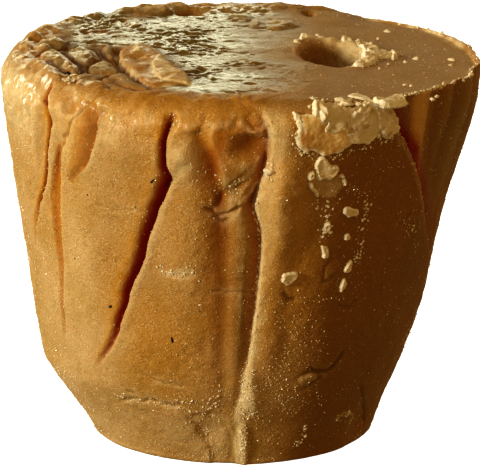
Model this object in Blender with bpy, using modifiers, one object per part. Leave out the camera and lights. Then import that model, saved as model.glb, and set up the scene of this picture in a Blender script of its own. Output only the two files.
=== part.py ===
"""Jaggery block: about a kilogram of boiled cane sugar set in a bucket-shaped mould.

The block stands on its narrow end, the way it is turned out. Its blank is a
turned bucket form. The blank is then pressed out of round, its top face and
wall are given their lumps and valleys, and the finger hole and the creases
left by folded, half-set sugar are cut in.

Lengths are in millimetres up to the last step, which scales them to metres.
A bearing is an angle round the upright axis: 0 faces the front (-Y) and
90 the right (+X).
"""

import bmesh
import bpy
import numpy as np

NAME = "jaggery_block"
MM = 0.001

# The block, mm
TOP_HEIGHT = 97.0
RIM_HEIGHT = 91.0
RIM_ROUND = 6.0
SHOULDER_RADIUS = 59.6
FOOT_ROUND = 1.6

# The blank's mesh: steps round the axis, and mm between rows and rings
TURN_STEPS = 120
WALL_STEP = 3.9
TOP_RING_STEP = 7.6

# Reach of the wall from the axis, mm, as (height, reach) on four sides
FRONT_REACH = ((0, 34.3), (10, 38.5), (20, 43.3), (30, 47.0), (49, 51.7), (65, 54.8), (80, 57.8), (91, 59.6))
RIGHT_REACH = ((0, 33.2), (8, 36.2), (21, 41.4), (33, 45.6), (49, 49.4), (65, 53.5), (77, 56.4), (91, 59.8))
LEFT_REACH = ((0, 35.8), (8, 41.2), (15, 46.6), (19, 49.0), (25, 50.4), (49, 54.0), (65, 56.0), (91, 59.4))

# Rounding of the rim on its sharp right side, as a share of the rounding elsewhere
SHARP_RIM_SHARE = 0.45

# Upright valleys and swellings of the wall: middle and half width in degrees,
# lowest and highest point, mm, and how far the wall moves, mm
WALL_WAVES = (
    ("valley left of the middle", -5.5, 4.0, 20, 91, -2.4),
    ("ridge at the middle", 6.5, 2.6, 26, 84, 1.3),
    ("valley beside the ridge", 2.0, 1.9, 30, 82, -1.9),
    ("flap under the rim", 19.0, 7.0, 83, 97, 1.0),
    ("swelling right of the ridge", 24.0, 13.0, 14, 84, 0.9),
    ("recess behind the front lobe", 42.5, 4.6, 72, 97, -3.2),
    ("flute on the right", 49.5, 3.6, 66, 97, 0.6),
    ("flute valley on the right", 58.0, 3.6, 60, 97, -1.0),
    ("swelling left of the slot", -31.0, 7.5, 50, 90, 0.9),
    ("fold on the left", -45.0, 4.5, 72, 92, 1.1),
    ("dent on the back", 165.0, 14.0, 34, 74, -1.0),
    ("swelling on the back", 140.0, 12.0, 22, 88, 0.8),
    ("swelling on the back left", -128.0, 14.0, 40, 90, 0.9),
)

# Lumps and dips of the top face: x, y, half widths in x and y, height, mm
TOP_LUMPS = (
    ("lumps of the left rim", -49.0, 27.0, 7.0, 12.0, 1.6),
    ("raised lump at the back", -22.0, 49.0, 8.0, 6.0, 1.3),
    ("dark hollow at the back", -8.0, 44.0, 9.0, 4.0, -1.0),
    ("folds at the left", -40.0, -4.0, 6.0, 8.0, 1.2),
    ("hollow between the folds", -33.0, 9.0, 6.0, 5.0, -1.1),
    ("front left lump", -44.0, -22.0, 7.0, 6.0, 0.9),
    ("folded flap", -21.0, -17.0, 9.0, 14.0, 1.2),
    ("slope to the right", 60.0, -22.0, 20.0, 26.0, -3.4),
    ("sunken back right rim", 48.0, 42.0, 17.0, 17.0, -1.7),
    ("rise behind the hole", 24.0, 18.0, 11.0, 6.0, 0.6),
    ("dip before the hole", 23.0, -14.0, 11.0, 6.0, -0.9),
)

# Creases cut into the wall, as points of bearing in degrees, height and half
# width in mm. The cutter's middle lies on the wall.
CREASES = {
    "slot": ((-16.6, 93.0, 0.5), (-19.0, 80.0, 1.5), (-19.6, 73.0, 2.2), (-25.0, 60.5, 2.6),
             (-30.5, 48.5, 2.3), (-36.5, 38.5, 1.8), (-44.0, 28.0, 0.6)),
    "left_groove": ((-49.0, 93.5, 1.3), (-51.0, 87.0, 1.4), (-54.8, 77.2, 1.1), (-63.0, 61.0, 0.5)),
    "left_channel": ((-50.5, 82.0, 0.8), (-53.0, 71.0, 1.7), (-54.2, 56.0, 1.5), (-55.8, 41.0, 0.6)),
    "lobe_edge": ((38.5, 90.0, 1.7), (45.5, 82.0, 1.5), (50.5, 72.0, 1.1), (57.0, 62.0, 0.5)),
}

# The finger hole in the top, mm: an oval plug's size and place
HOLE_CENTRE = (22.6, 1.0)
HOLE_DEPTH = 27.0
HOLE_MOUTH_RADIUS = 8.2
HOLE_FLOOR_RADIUS = 5.2
HOLE_STRETCH_Y = 1.45
HOLE_STEPS = 24
CUTTER_RISE = 6.0


def clear_scene():
    """Remove the start-up objects."""
    for old in list(bpy.data.objects):
        bpy.data.objects.remove(old, do_unlink=True)


def make_collection(name):
    """Return a new collection linked to the scene."""
    made = bpy.data.collections.new(name)
    bpy.context.scene.collection.children.link(made)
    return made


def make_material(name, colour, roughness):
    """Return a Principled material of one colour."""
    material = bpy.data.materials.new(name)
    material.use_nodes = True
    shader = material.node_tree.nodes["Principled BSDF"]
    shader.inputs["Base Color"].default_value = (*colour, 1.0)
    shader.inputs["Roughness"].default_value = roughness
    shader.inputs["Metallic"].default_value = 0.0
    return material


def add_object(name, mesh, collection):
    """Wrap a mesh or curve in an object of the collection."""
    made = bpy.data.objects.new(name, mesh)
    collection.objects.link(made)
    return made


def take_mesh(made):
    """Replace an object by the mesh that it evaluates to."""
    bpy.context.view_layer.update()
    mesh = bpy.data.meshes.new_from_object(made.evaluated_get(bpy.context.evaluated_depsgraph_get()))
    bpy.data.objects.remove(made, do_unlink=True)
    return mesh


def read_points(mesh):
    """Vertex places of a mesh as an array."""
    flat = np.empty(len(mesh.vertices) * 3, dtype=np.float32)
    mesh.vertices.foreach_get("co", flat)
    return flat.reshape(-1, 3).astype(float)


def write_points(mesh, points):
    """Put an array of places back into a mesh."""
    mesh.vertices.foreach_set("co", points.astype(np.float32).ravel())
    mesh.update()


def turned_mesh(name, outline, steps):
    """Turn an outline of (radius, height) points about the Z axis with a Screw modifier."""
    edges = [(i, i + 1) for i in range(len(outline) - 1)]
    line = bpy.data.meshes.new(name)
    line.from_pydata([(radius, 0.0, height) for radius, height in outline], edges, [])
    turned = add_object(name, line, bpy.context.scene.collection)
    screw = turned.modifiers.new("turn", "SCREW")
    screw.axis = "Z"
    screw.steps = steps
    screw.render_steps = steps
    screw.use_merge_vertices = True
    screw.merge_threshold = 0.00001
    return take_mesh(turned)


def soft_step(low, high, value):
    """Smooth rise from 0 at low to 1 at high."""
    part = np.clip((value - low) / (high - low), 0.0, 1.0)
    return part * part * (3.0 - 2.0 * part)


def reach(outline, height):
    """Reach of one side's outline at each height."""
    heights, reaches = zip(*outline)
    return np.interp(height, heights, reaches)


def wall_reach(bearing, height):
    """Reach of the wall: the right or left outline mixed into the front one by the squared sine."""
    sine = np.sin(bearing)
    side = np.where(sine > 0.0, reach(RIGHT_REACH, height), reach(LEFT_REACH, height))
    return side * sine**2 + reach(FRONT_REACH, height) * (1.0 - sine**2)


def wall_waves(bearing, height):
    """Sum of the wall's valleys and swellings: bell curves across, faded at their ends."""
    total = np.zeros_like(height)
    for _, middle, half_width, lowest, highest, move in WALL_WAVES:
        away = (np.degrees(bearing) - middle + 180.0) % 360.0 - 180.0
        fade = (highest - lowest) * 0.25
        along = soft_step(lowest, lowest + fade, height) * (1.0 - soft_step(highest - fade, highest, height))
        total += move * np.exp(-((away / half_width) ** 2)) * along
    return total


def top_lumps(x, y):
    """Sum of the top face's lumps and dips: one bell-shaped hill for each."""
    total = np.zeros_like(x)
    for _, middle_x, middle_y, width_x, width_y, rise in TOP_LUMPS:
        total += rise * np.exp(-(((x - middle_x) / width_x) ** 2) - ((y - middle_y) / width_y) ** 2)
    return total


def blank_outline():
    """Outline of the turned blank: from the top's middle over the rim and down the wall to the foot's middle."""
    flat_edge = SHOULDER_RADIUS - RIM_ROUND
    rings = int(flat_edge / TOP_RING_STEP)
    points = [(flat_edge * ring / rings, TOP_HEIGHT) for ring in range(rings + 1)]
    for turn in np.radians((30.0, 60.0)):
        points.append((flat_edge + RIM_ROUND * np.sin(turn), RIM_HEIGHT + RIM_ROUND * np.cos(turn)))
    for height in np.linspace(RIM_HEIGHT, FOOT_ROUND, int(RIM_HEIGHT / WALL_STEP)):
        points.append((reach(FRONT_REACH, height), height))
    foot = FRONT_REACH[0][1] - FOOT_ROUND
    return points + [(foot, 0.0), (foot * 0.5, 0.0), (0.0, 0.0)]


def press_block(points):
    """Press the turned blank into the block's own shape.

    Each point keeps its bearing. The rim's rounding shrinks towards the
    shoulder on the right. A radius is stretched by the ratio of the wall's
    reach to the blank's and moved by the waves, which fade towards the
    middles of the top and the foot. The top face rises and falls by its
    lumps, and the foot stays flat.
    """
    radius = np.hypot(points[:, 0], points[:, 1])
    bearing = np.arctan2(points[:, 0], -points[:, 1])
    height = points[:, 2]
    level = np.minimum(height, RIM_HEIGHT)

    round_share = 1.0 - (1.0 - SHARP_RIM_SHARE) * soft_step(0.2, 0.75, np.sin(bearing))
    rim = (height > RIM_HEIGHT) & (radius > SHOULDER_RADIUS - RIM_ROUND - 0.01)
    radius = np.where(rim, SHOULDER_RADIUS - (SHOULDER_RADIUS - radius) * round_share, radius)
    height = np.where(rim, TOP_HEIGHT - (TOP_HEIGHT - height) * round_share, height)

    blank = reach(FRONT_REACH, level)
    on_wall = soft_step(0.6, 0.95, radius / blank)
    radius = radius * wall_reach(bearing, level) / blank + wall_waves(bearing, level) * on_wall
    x = radius * np.sin(bearing)
    y = -radius * np.cos(bearing)
    height = height + top_lumps(x, y) * soft_step(RIM_HEIGHT - 24.0, TOP_HEIGHT, height)
    return np.stack([x, y, height], axis=1)


def middle_of(points):
    """Middle of the box round the points, seen from above."""
    return (points[:, :2].min(axis=0) + points[:, :2].max(axis=0)) * 0.5


def crease_mesh(name, crease, shift):
    """A tapered tube along a crease, its middle on the wall, as a closed mesh."""
    curve = bpy.data.curves.new(name, "CURVE")
    curve.dimensions = "3D"
    curve.bevel_depth = 1.0
    curve.bevel_resolution = 2
    curve.resolution_u = 3
    curve.use_fill_caps = True
    line = curve.splines.new("NURBS")
    line.points.add(len(crease) - 1)
    line.order_u = 3
    line.use_endpoint_u = True

    degrees, heights, half_widths = np.array(crease, dtype=float).T
    bearing = np.radians(degrees)
    out = wall_reach(bearing, heights) + wall_waves(bearing, heights)
    x = out * np.sin(bearing) - shift[0]
    y = -out * np.cos(bearing) - shift[1]
    line.points.foreach_set("co", np.stack([x, y, heights, np.ones_like(x)], axis=1).ravel())
    line.points.foreach_set("radius", half_widths)

    mesh = take_mesh(add_object(name, curve, bpy.context.scene.collection))
    work = bmesh.new()
    work.from_mesh(mesh)
    bmesh.ops.remove_doubles(work, verts=work.verts, dist=0.001)
    bmesh.ops.recalc_face_normals(work, faces=work.faces)
    work.to_mesh(mesh)
    work.free()
    return mesh


def hole_mesh(name, shift):
    """The finger hole's plug: turned, tapered, rounded at its floor and stretched to an oval."""
    outline = [(0.0, TOP_HEIGHT + CUTTER_RISE), (HOLE_MOUTH_RADIUS, TOP_HEIGHT + CUTTER_RISE)]
    straight = HOLE_DEPTH - HOLE_FLOOR_RADIUS
    for share in (0.0, 0.3, 0.6):
        wide = HOLE_MOUTH_RADIUS + (HOLE_FLOOR_RADIUS - HOLE_MOUTH_RADIUS) * share
        outline.append((wide, TOP_HEIGHT - straight * share))
    for turn in np.radians((0.0, 35.0, 65.0, 90.0)):
        wide = HOLE_FLOOR_RADIUS * np.cos(turn)
        outline.append((wide, TOP_HEIGHT - straight - HOLE_FLOOR_RADIUS * np.sin(turn)))
    mesh = turned_mesh(name, outline, HOLE_STEPS)
    points = read_points(mesh)
    points[:, 0] += HOLE_CENTRE[0] - shift[0]
    points[:, 1] = points[:, 1] * HOLE_STRETCH_Y + HOLE_CENTRE[1] - shift[1]
    write_points(mesh, points)
    return mesh


def cut(block, name, mesh, collection):
    """Take a cutter out of the block."""
    write_points(mesh, read_points(mesh) * MM)
    cutter = add_object(name, mesh, collection)
    cutter.hide_render = True
    cutter.display_type = "WIRE"
    boolean = block.modifiers.new(name, "BOOLEAN")
    boolean.operation = "DIFFERENCE"
    boolean.solver = "EXACT"
    boolean.object = cutter


def main():
    """Build the block and its cutters."""
    clear_scene()
    parts = make_collection(NAME)
    cutters = make_collection("cutters")

    mesh = turned_mesh(NAME, blank_outline(), TURN_STEPS)
    points = press_block(read_points(mesh))
    shift = middle_of(points)
    points[:, :2] -= shift
    write_points(mesh, points * MM)
    mesh.shade_smooth()
    mesh.materials.append(make_material("boiled_cane_sugar", (0.42, 0.19, 0.045), 0.5))
    block = add_object(NAME, mesh, parts)

    cut(block, "finger_hole", hole_mesh("finger_hole", shift), cutters)
    for name, crease in CREASES.items():
        cut(block, name, crease_mesh(name, crease, shift), cutters)


main()
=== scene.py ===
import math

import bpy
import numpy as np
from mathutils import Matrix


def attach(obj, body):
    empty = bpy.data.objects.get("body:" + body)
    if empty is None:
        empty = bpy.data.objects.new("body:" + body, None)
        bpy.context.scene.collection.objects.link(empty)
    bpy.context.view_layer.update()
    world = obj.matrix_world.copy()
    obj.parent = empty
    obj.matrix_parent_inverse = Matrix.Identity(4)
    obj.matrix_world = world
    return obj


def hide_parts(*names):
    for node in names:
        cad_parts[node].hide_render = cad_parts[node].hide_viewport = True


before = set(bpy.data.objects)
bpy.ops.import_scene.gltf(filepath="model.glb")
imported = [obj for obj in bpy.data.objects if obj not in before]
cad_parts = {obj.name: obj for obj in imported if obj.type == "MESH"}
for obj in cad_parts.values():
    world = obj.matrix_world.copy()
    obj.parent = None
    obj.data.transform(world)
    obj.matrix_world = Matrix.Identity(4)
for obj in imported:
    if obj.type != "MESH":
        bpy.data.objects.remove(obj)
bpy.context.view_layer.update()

# Jaggery block: boiled cane sugar set in a lined bucket mould, stood on its narrow end.
# Lengths are in millimetres until a mesh is made. A bearing is an angle in degrees round the
# upright axis: 0 faces the front (-Y) and 90 the right (+X). Heights are above the floor.

MM = 0.001
BLOCK = "jaggery_block"
BODY = "root"
SEED = 41
# Masks carried on the block. Several paint light: the dark red and brown ones and much of the olive one are
# painted shade, the amber one is partly a painted glow and the pale one partly a painted highlight.
MASKS = ("deep", "pale", "amber_tone_and_glow", "gloss", "shade", "olive_tone_and_shade", "rough")

# ---------------------------------------------------------------- sizes

TOP_HEIGHT = 97.0
FOOT_ROUND = 1.6
MEAN_REACH = 53.0
# Millimetres round the wall for each degree of bearing
WALL_FLAT = math.radians(MEAN_REACH)

# Reach of the wall from the axis, as (height, reach) on four sides
FRONT_REACH = (
    (0, 34.3), (10, 38.5), (20, 43.3), (30, 47.0), (49, 51.7), (65, 54.8), (80, 57.8), (91, 59.3),
    (97, 59.6),
)
RIGHT_REACH = (
    (0, 33.2), (8, 36.2), (21, 41.4), (33, 45.6), (49, 49.4), (65, 53.5), (77, 56.4), (91, 59.3),
    (97, 59.6),
)
LEFT_REACH = (
    (0, 35.8), (8, 41.2), (15, 46.6), (19, 49.0), (25, 50.4), (49, 54.0), (65, 56.0), (91, 59.2),
    (97, 59.5),
)

# Width of the rim's rounding and how far it drops, as (bearing, width, drop)
RIM = ((-180, 4.5, 5.0), (-120, 4.5, 5.0), (-80, 5.5, 7.0), (-40, 8.0, 8.0), (0, 8.0, 7.5), (14, 6.0, 5.0),
       (30, 4.0, 3.2), (50, 2.2, 2.0), (90, 2.2, 2.0), (130, 3.0, 3.0), (180, 4.5, 5.0))

HOLE_CENTRE = (22.6, 1.0)
HOLE_RADII = (7.9, 11.6)
HOLE_FLOOR_SHARE = 0.62
HOLE_DEPTH = 27.0
HOLE_FLOOR_DROP = 5.0
HOLE_LIP = 1.2
HOLE_TIP = 0.8

# Rows of the block's grid in each stretch, its columns' spacing in degrees, and the triangles kept
ROWS = {
    "hole_floor": 10, "hole_wall": 44, "lip": 7, "top": 191, "rim": 27, "wall": 281, "foot": 6,
    "under": 12,
}
FRONT_SPACING, BACK_SPACING = 0.30, 0.80
BLOCK_TRIANGLES = 196000

# Crystals dotted over the block: how many, half sizes, and the masks that hide them
GRAIN_COUNT = 20000
GRAIN_SMALLEST, GRAIN_SPREAD = 0.055, 0.19
GRAINS_HIDDEN = (("gloss", 0.6), ("deep", 0.8), ("olive_tone_and_shade", 0.85), ("shade", 0.6))
# Power of an even random number that makes most crumbs and crystals small and few large
FEW_LARGE = 2.5

# Spans in which a feature fades in and out, as (start, full, full, end). Heights of the steep part of the
# ridge, of its painted bright edge and of the painted shade on the wall beside it:
STEEP_RIDGE = (56.0, 64.0, 80.0, 86.0)
BRIGHT_RIDGE = (16.0, 24.0, 80.0, 86.0)
DARK_BESIDE = (16.0, 32.0, 76.0, 84.0)
# Bearings of the warm folds, the bulging rim, the amber on it, the crumbly skin and the valley's bed:
FOLD_SIDE = (-24.0, -12.0, 6.0, 20.0)
FRONT_RIM = (-70.0, -60.0, 6.0, 14.0)
AMBER_RIM = (-64.0, -40.0, 2.0, 14.0)
LEFT_SKIN = (-112.0, -86.0, -60.0, -52.0)
VALLEY_BED = (-7.0, -4.5, 3.0, 6.0)
# Distances right of the axis of the dim film at the back left:
DIM_FILM = (-47.0, -40.0, -32.0, -24.0)

# Layers of unevenness, each as (height in mm, size across in mm, number added to the seed)
WALL_GRAIN = ((0.10, 2.8, 2), (0.05, 1.4, 3))
FRONT_RIM_BUMPS = ((0.42, 5.0, 10), (0.46, 2.3, 11), (0.22, 1.2, 13))
TOP_UNEVEN = ((0.30, 14.0, 20), (0.14, 6.0, 21))
FLAP_BUMPS = ((0.34, 3.6, 46), (0.18, 1.6, 49), (0.08, 0.9, 74))
RIM_SKIN_BUMPS = ((0.30, 3.4, 66), (0.20, 1.7, 67), (0.10, 0.9, 68))
HOLE_LIP_BUMPS = ((0.5, 4.0, 40), (0.22, 1.8, 41))
HOLE_WALL_BUMPS = ((0.05, 5.0, 42), (0.02, 2.0, 43))
CRUMBLE = ((0.16, 1.9, 50), (0.13, 0.95, 51))

# Creases up the wall, as (height, bearing of the deepest line, depth, width to its left and to its right)
CREASES = {
    "left_groove": ((50, -70, 0.0, 1.6, 1.4), (60, -64.2, 0.5, 1.6, 1.3), (66, -60.3, 1.1, 1.6, 1.0),
                    (73, -56.2, 1.9, 1.7, 0.8), (79, -53.8, 2.6, 1.7, 0.7), (84, -51.8, 2.9, 1.7, 0.7),
                    (88, -51.2, 2.9, 1.7, 0.7), (93, -53.2, 2.3, 1.7, 0.8), (97, -54.2, 1.2, 1.8, 1.0)),
    "left_channel": ((28, -59.5, 0.0, 0.8, 0.6), (34, -58.0, 0.4, 1.0, 0.5), (43, -56.2, 0.6, 1.5, 0.5),
                     (52, -54.4, 0.8, 2.2, 0.5), (60, -53.4, 0.9, 2.9, 0.5), (68, -52.0, 1.0, 3.6, 0.5),
                     (73, -50.6, 1.1, 3.0, 0.5), (78, -49.3, 1.1, 1.8, 0.5), (81, -48.6, 0.8, 1.0, 0.5),
                     (84, -47.4, 0.0, 1.0, 0.5)),
    "slot": ((25, -45.9, 0.0, 2.6, 1.0), (28.5, -42.9, 0.7, 2.3, 1.2), (34, -37.9, 1.5, 2.7, 0.9),
             (40, -34.8, 2.2, 3.6, 0.7), (46, -31.5, 2.8, 4.3, 0.6), (54, -27.5, 3.3, 5.2, 0.6),
             (62, -24.2, 3.6, 5.2, 0.6), (69, -21.3, 3.8, 5.0, 0.6), (74, -18.8, 3.9, 5.5, 0.7),
             (78, -17.4, 3.9, 5.2, 0.9), (82, -18.1, 3.5, 3.2, 0.7), (86, -17.9, 3.0, 2.8, 0.7),
             (90, -16.9, 2.2, 2.4, 0.7), (93.5, -15.9, 0.8, 2.0, 0.8), (95, -15.5, 0.0, 1.8, 1.0)),
    "leaf_side": ((73, -45.5, 0.0, 1.5, 0.8), (75, -44.0, 0.8, 2.4, 0.7), (77.5, -41.5, 1.5, 3.6, 0.6),
                  (80.2, -39.2, 2.0, 4.6, 0.6), (83, -37.8, 2.3, 5.2, 0.6), (85.8, -36.6, 2.4, 5.4, 0.6),
                  (88.5, -36.0, 2.2, 5.2, 0.6), (91, -36.2, 1.5, 4.6, 0.7), (93, -37.0, 0.7, 3.6, 0.8),
                  (95, -37.8, 0.0, 3.0, 0.8)),
    "valley": ((15, -6.0, 0.0, 5.0, 3.0), (20, -5.7, 0.5, 5.0, 3.0), (28, -5.9, 0.9, 5.6, 4.2),
               (40, -5.6, 1.2, 6.0, 4.8), (54, -5.0, 1.5, 6.4, 5.0), (66, -5.0, 1.7, 6.4, 4.6),
               (75, -5.4, 1.8, 6.0, 3.0), (82, -7.2, 1.6, 5.6, 3.0), (88, -9.4, 0.9, 5.0, 3.6),
               (94, -11.0, 0.0, 5.0, 4.0)),
    "ridge_foot": ((14, -1.6, 0.0, 2.0, 0.8), (20, -0.4, 0.4, 2.0, 0.7), (27, 1.3, 0.9, 2.4, 0.7),
                   (34, 3.0, 1.3, 2.8, 0.7), (42, 4.1, 1.7, 3.4, 0.7), (49, 4.6, 2.0, 3.8, 0.7),
                   (58, 5.3, 2.2, 4.0, 0.7), (65, 5.1, 2.4, 4.0, 0.7), (72, 3.6, 2.6, 3.6, 0.7),
                   (76, 4.4, 2.8, 4.0, 0.8), (80, 5.4, 2.9, 4.8, 0.9), (86, 6.3, 2.9, 5.6, 1.0),
                   (90, 6.3, 2.2, 5.4, 1.2), (94, 5.4, 0.6, 4.4, 1.4)),
    "back_fold": ((22, 128, 0.0, 5.0, 2.0), (34, 131, 0.9, 5.0, 1.8), (52, 136, 1.9, 5.6, 1.6),
                  (70, 142, 2.4, 6.0, 1.5), (84, 145, 2.0, 5.0, 1.6), (93, 147, 0.5, 4.0, 2.0)),
    "back_slot": ((34, -172, 0.0, 3.4, 1.4), (44, -170, 1.3, 4.0, 1.3), (60, -165, 2.4, 4.6, 1.2),
                  (76, -161, 2.8, 4.6, 1.2), (88, -159, 1.6, 3.4, 1.2), (95, -158, 0.2, 2.6, 1.4)),
    "back_channel": ((12, -128, 0.0, 3.0, 3.0), (26, -126, 0.7, 3.4, 2.2), (46, -121, 1.3, 3.6, 1.6),
                     (66, -117, 1.9, 3.8, 1.5), (82, -116, 1.6, 3.4, 1.5), (92, -116, 0.4, 3.0, 1.8)),
    "left_fold": ((30, -92, 0.0, 4.0, 3.0), (46, -90, 0.6, 4.0, 2.4), (64, -87, 1.2, 4.0, 2.0),
                  (80, -86, 1.3, 3.6, 2.0), (92, -86, 0.3, 3.0, 2.0)),
    "right_fold": ((8, 92, 0.0, 4.0, 4.0), (24, 94, 0.7, 4.0, 3.0), (44, 97, 1.1, 4.6, 2.4),
                   (62, 99, 1.0, 4.6, 2.2), (78, 100, 0.3, 4.0, 2.4)),
}
# How a crease looks: share of level bed, sharpness of its left slope, dark red painted shade, brown
# painted shade, amber painted glow beside it, lip in mm (which also sets the lip's pale painted highlight)
CREASE_LOOKS = {
    "left_groove": (0.12, 2.6, 1.0, 0.0, 0.9, 0.3), "left_channel": (0.62, 1.0, 0.62, 0.0, 1.0, 0.25),
    "leaf_side": (0.05, 1.1, 0.25, 0.0, 1.0, 0.30), "slot": (0.20, 2.9, 1.0, 0.0, 1.0, 0.22),
    "valley": (0.05, 1.5, 0.14, 1.0, 0.3, 0.0), "ridge_foot": (0.05, 1.3, 0.26, 1.0, 0.3, 0.0),
}
PLAIN_CREASE = (0.10, 1.6, 0.5, 0.5, 0.6, 0.2)
# Bearing of the sharp edge beside the longest crease at each height, and the pale scraped facet right of it,
# whose pale is partly chalk and partly painted light: height, width, strength
RIDGE_EDGE = (
    (97, 6.0), (93.5, 6.5), (89.5, 7.3), (85.8, 7.5), (81.8, 7.0), (78.8, 5.9), (72, 4.3), (65, 5.8),
    (58, 6.0), (50, 5.4), (43.8, 4.9), (37, 4.2), (31.8, 3.2), (27, 2.0), (21.8, 1.2), (16, -0.5),
    (8, -0.4), (0, -0.3),
)
RIDGE_FACET = (
    (97, 3.4, 0.3), (93, 5.4, 0.7), (88, 5.2, 0.75), (84, 3.4, 0.5), (80, 4.2, 0.40), (77, 5.0, 0.5),
    (70, 5.0, 0.5), (62, 3.4, 0.4), (57, 2.8, 0.35), (51, 1.9, 0.5), (44, 1.7, 0.6), (36, 1.6, 0.7),
    (28, 1.8, 0.8), (22, 2.8, 0.9), (17.5, 4.6, 1.0), (14.5, 3.8, 0.6), (12, 2.2, 0.8), (6, 2.2, 0.8),
    (0, 2.0, 0.7),
)

# Soft swellings (+) and dents (-) of the wall: bearing, height, half width, half height, lean, mm out
SWELLS = (
    (-41, 62, 9.5, 38, -6, 1.1), (-31, 84, 9, 10, 0, 0.8), (-56.5, 86, 3.4, 14, -16, 1.3),
    (-51.8, 83, 1.6, 9, -14, 0.4), (-15, 62, 7.5, 34, -3, 1.3), (-13.5, 84, 5.0, 7.5, 10, 1.1),
    (-8, 94, 12, 6, 0, 0.8), (-1.2, 58, 3.2, 26, 0, 0.2), (1.8, 86.8, 5.8, 5.2, 20, -2.6),
    (0.8, 78, 2.0, 7.5, -38, -1.2), (-3.5, 74.5, 1.8, 7.0, -38, -1.0), (3.4, 73.5, 1.4, 5.5, -40, -0.9),
    (11.5, 70, 6.0, 20, 0, 1.3), (9.0, 34, 4.0, 14, 0, 0.6), (10, 50, 4, 16, 0, 0.4),
    (9, 90, 6, 6, 0, 0.7), (24, 60, 16, 34, 0, 0.8), (-28, 36, 16, 16, 0, 0.5), (-24, 10, 14, 9, 0, 0.5),
    (-53, 30, 7, 12, 0, -0.4), (-3.5, 17, 7, 4.5, 0, -0.7), (-12, 9.5, 5, 5.0, 0, -0.9),
    (3.5, 23, 4.2, 9, 4, 0.9), (1.6, 6, 2.2, 8, 0, 0.7), (58, 7, 9, 7, -20, -1.0),
    (70, 50, 10, 30, 0, 0.4), (110, 60, 12, 30, 0, 0.9), (155, 40, 12, 26, 0, 0.7),
    (-148, 66, 10, 26, 0, 1.0), (-100, 40, 12, 30, 0, 0.6), (-135, 20, 12, 10, 0, -0.8),
    (170, 84, 10, 9, 0, 0.8), (-74, 88, 8, 9, 0, 0.7), (-66, 70, 7, 18, 0, 0.5),
    (-18.9, 76.6, 2.0, 3.4, -10, -1.3), (-7.2, 70.5, 2.4, 1.6, 0, -0.4), (-1.5, 70.3, 3.0, 0.9, 34, -0.7),
)

# Small things raised (+) or sunk (-) along bent lines on the wall: points, half width, mm. Sunk ones get
# an olive painted shade.
WALL_LINES = (
    (((-39.0, 94.4), (-43.2, 89.6), (-45.6, 85.6), (-48.6, 81.2), (-49.3, 77.0), (-47.4, 73.8)), 0.35,
     -0.5),
    (((-44, 16.8), (-40.2, 16.5), (-37.8, 17.2), (-35.2, 18), (-32.8, 17.2), (-29.2, 18.2), (-26.3, 17),
      (-22, 17), (-19.5, 17.2), (-16.5, 16)), 0.45, -0.55),
    (((-28.2, 24), (-25.5, 23.8), (-23.5, 23.2), (-20.8, 23), (-16.2, 22.5)), 0.35, -0.40),
    (((-37.8, 19.5), (-35, 18.8)), 0.40, -0.50),
    (((-39.2, 68.8), (-31.8, 68.5), (-26.5, 68.8), (-23.5, 69.2)), 0.30, -0.22),
    (((-9.2, 71.8), (-5.5, 68.8), (-2.2, 70), (0.5, 72.5)), 0.45, -0.55),
    (((0.5, 71.5), (-2.2, 68.8), (-4, 67.5), (-7.8, 68.8)), 0.40, -0.50),
    (((-9, 49.2), (-4.8, 48.8), (0, 49.5), (5.2, 48.2)), 0.30, -0.28),
    (((5.5, 84.5), (4, 82.5), (2, 79.5), (-1, 77.2), (-2.5, 75.5)), 0.55, 0.55),
    (((4.8, 78), (3.0, 75.4), (1.2, 73.2), (-0.6, 71.6)), 0.45, 0.45),
    (((-17.4, 76.8), (-15.6, 79.2), (-13.6, 81.2), (-11.0, 82.6)), 1.10, -0.50),
    (((33.4, 30.6), (32.4, 29.0), (31.5, 28.0), (30, 26.5), (27.8, 25.6), (25, 26), (22, 26.8),
      (18.2, 24.9)), 0.55, -0.8),
    (((26.3, 24.8), (23.4, 23.0), (20.2, 21.3)), 0.40, -0.50),
    (((27.5, 44), (32, 42.5), (35.2, 45)), 0.35, -0.40),
    (((26.3, 53), (24.2, 51), (22.5, 50.8), (22.5, 54.8), (24, 57)), 0.35, -0.35),
    (((11.2, 49.2), (13, 46.8), (15.8, 46.8)), 0.70, -0.60),
    (((37, 9.8), (41.5, 11.8), (44.2, 11), (48, 10), (50.3, 6.8)), 0.40, 0.40),
    (((45, 19.8), (50.8, 14.2), (61.8, 8.2), (66, 4)), 0.60, -0.60),
    (((46.8, 61.5), (48.2, 63.2), (50.3, 64.5)), 0.35, -0.35),
    (((50.3, 59.2), (51, 61), (54.5, 61.2)), 0.35, -0.35),
    (((0.0, 93.6), (1.2, 91.6), (4.0, 89.8), (5.8, 89.2)), 0.80, 0.75),
    (((100, 30), (106, 33), (113, 31), (121, 34)), 0.50, -0.60),
    (((-150, 28), (-143, 31), (-137, 29), (-130, 30), (-124, 27)), 0.50, -0.70),
    (((164, 62), (171, 60), (178, 62.5)), 0.40, -0.50),
    (((72, 36), (78, 40), (81, 45)), 0.45, -0.50),
)

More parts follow.
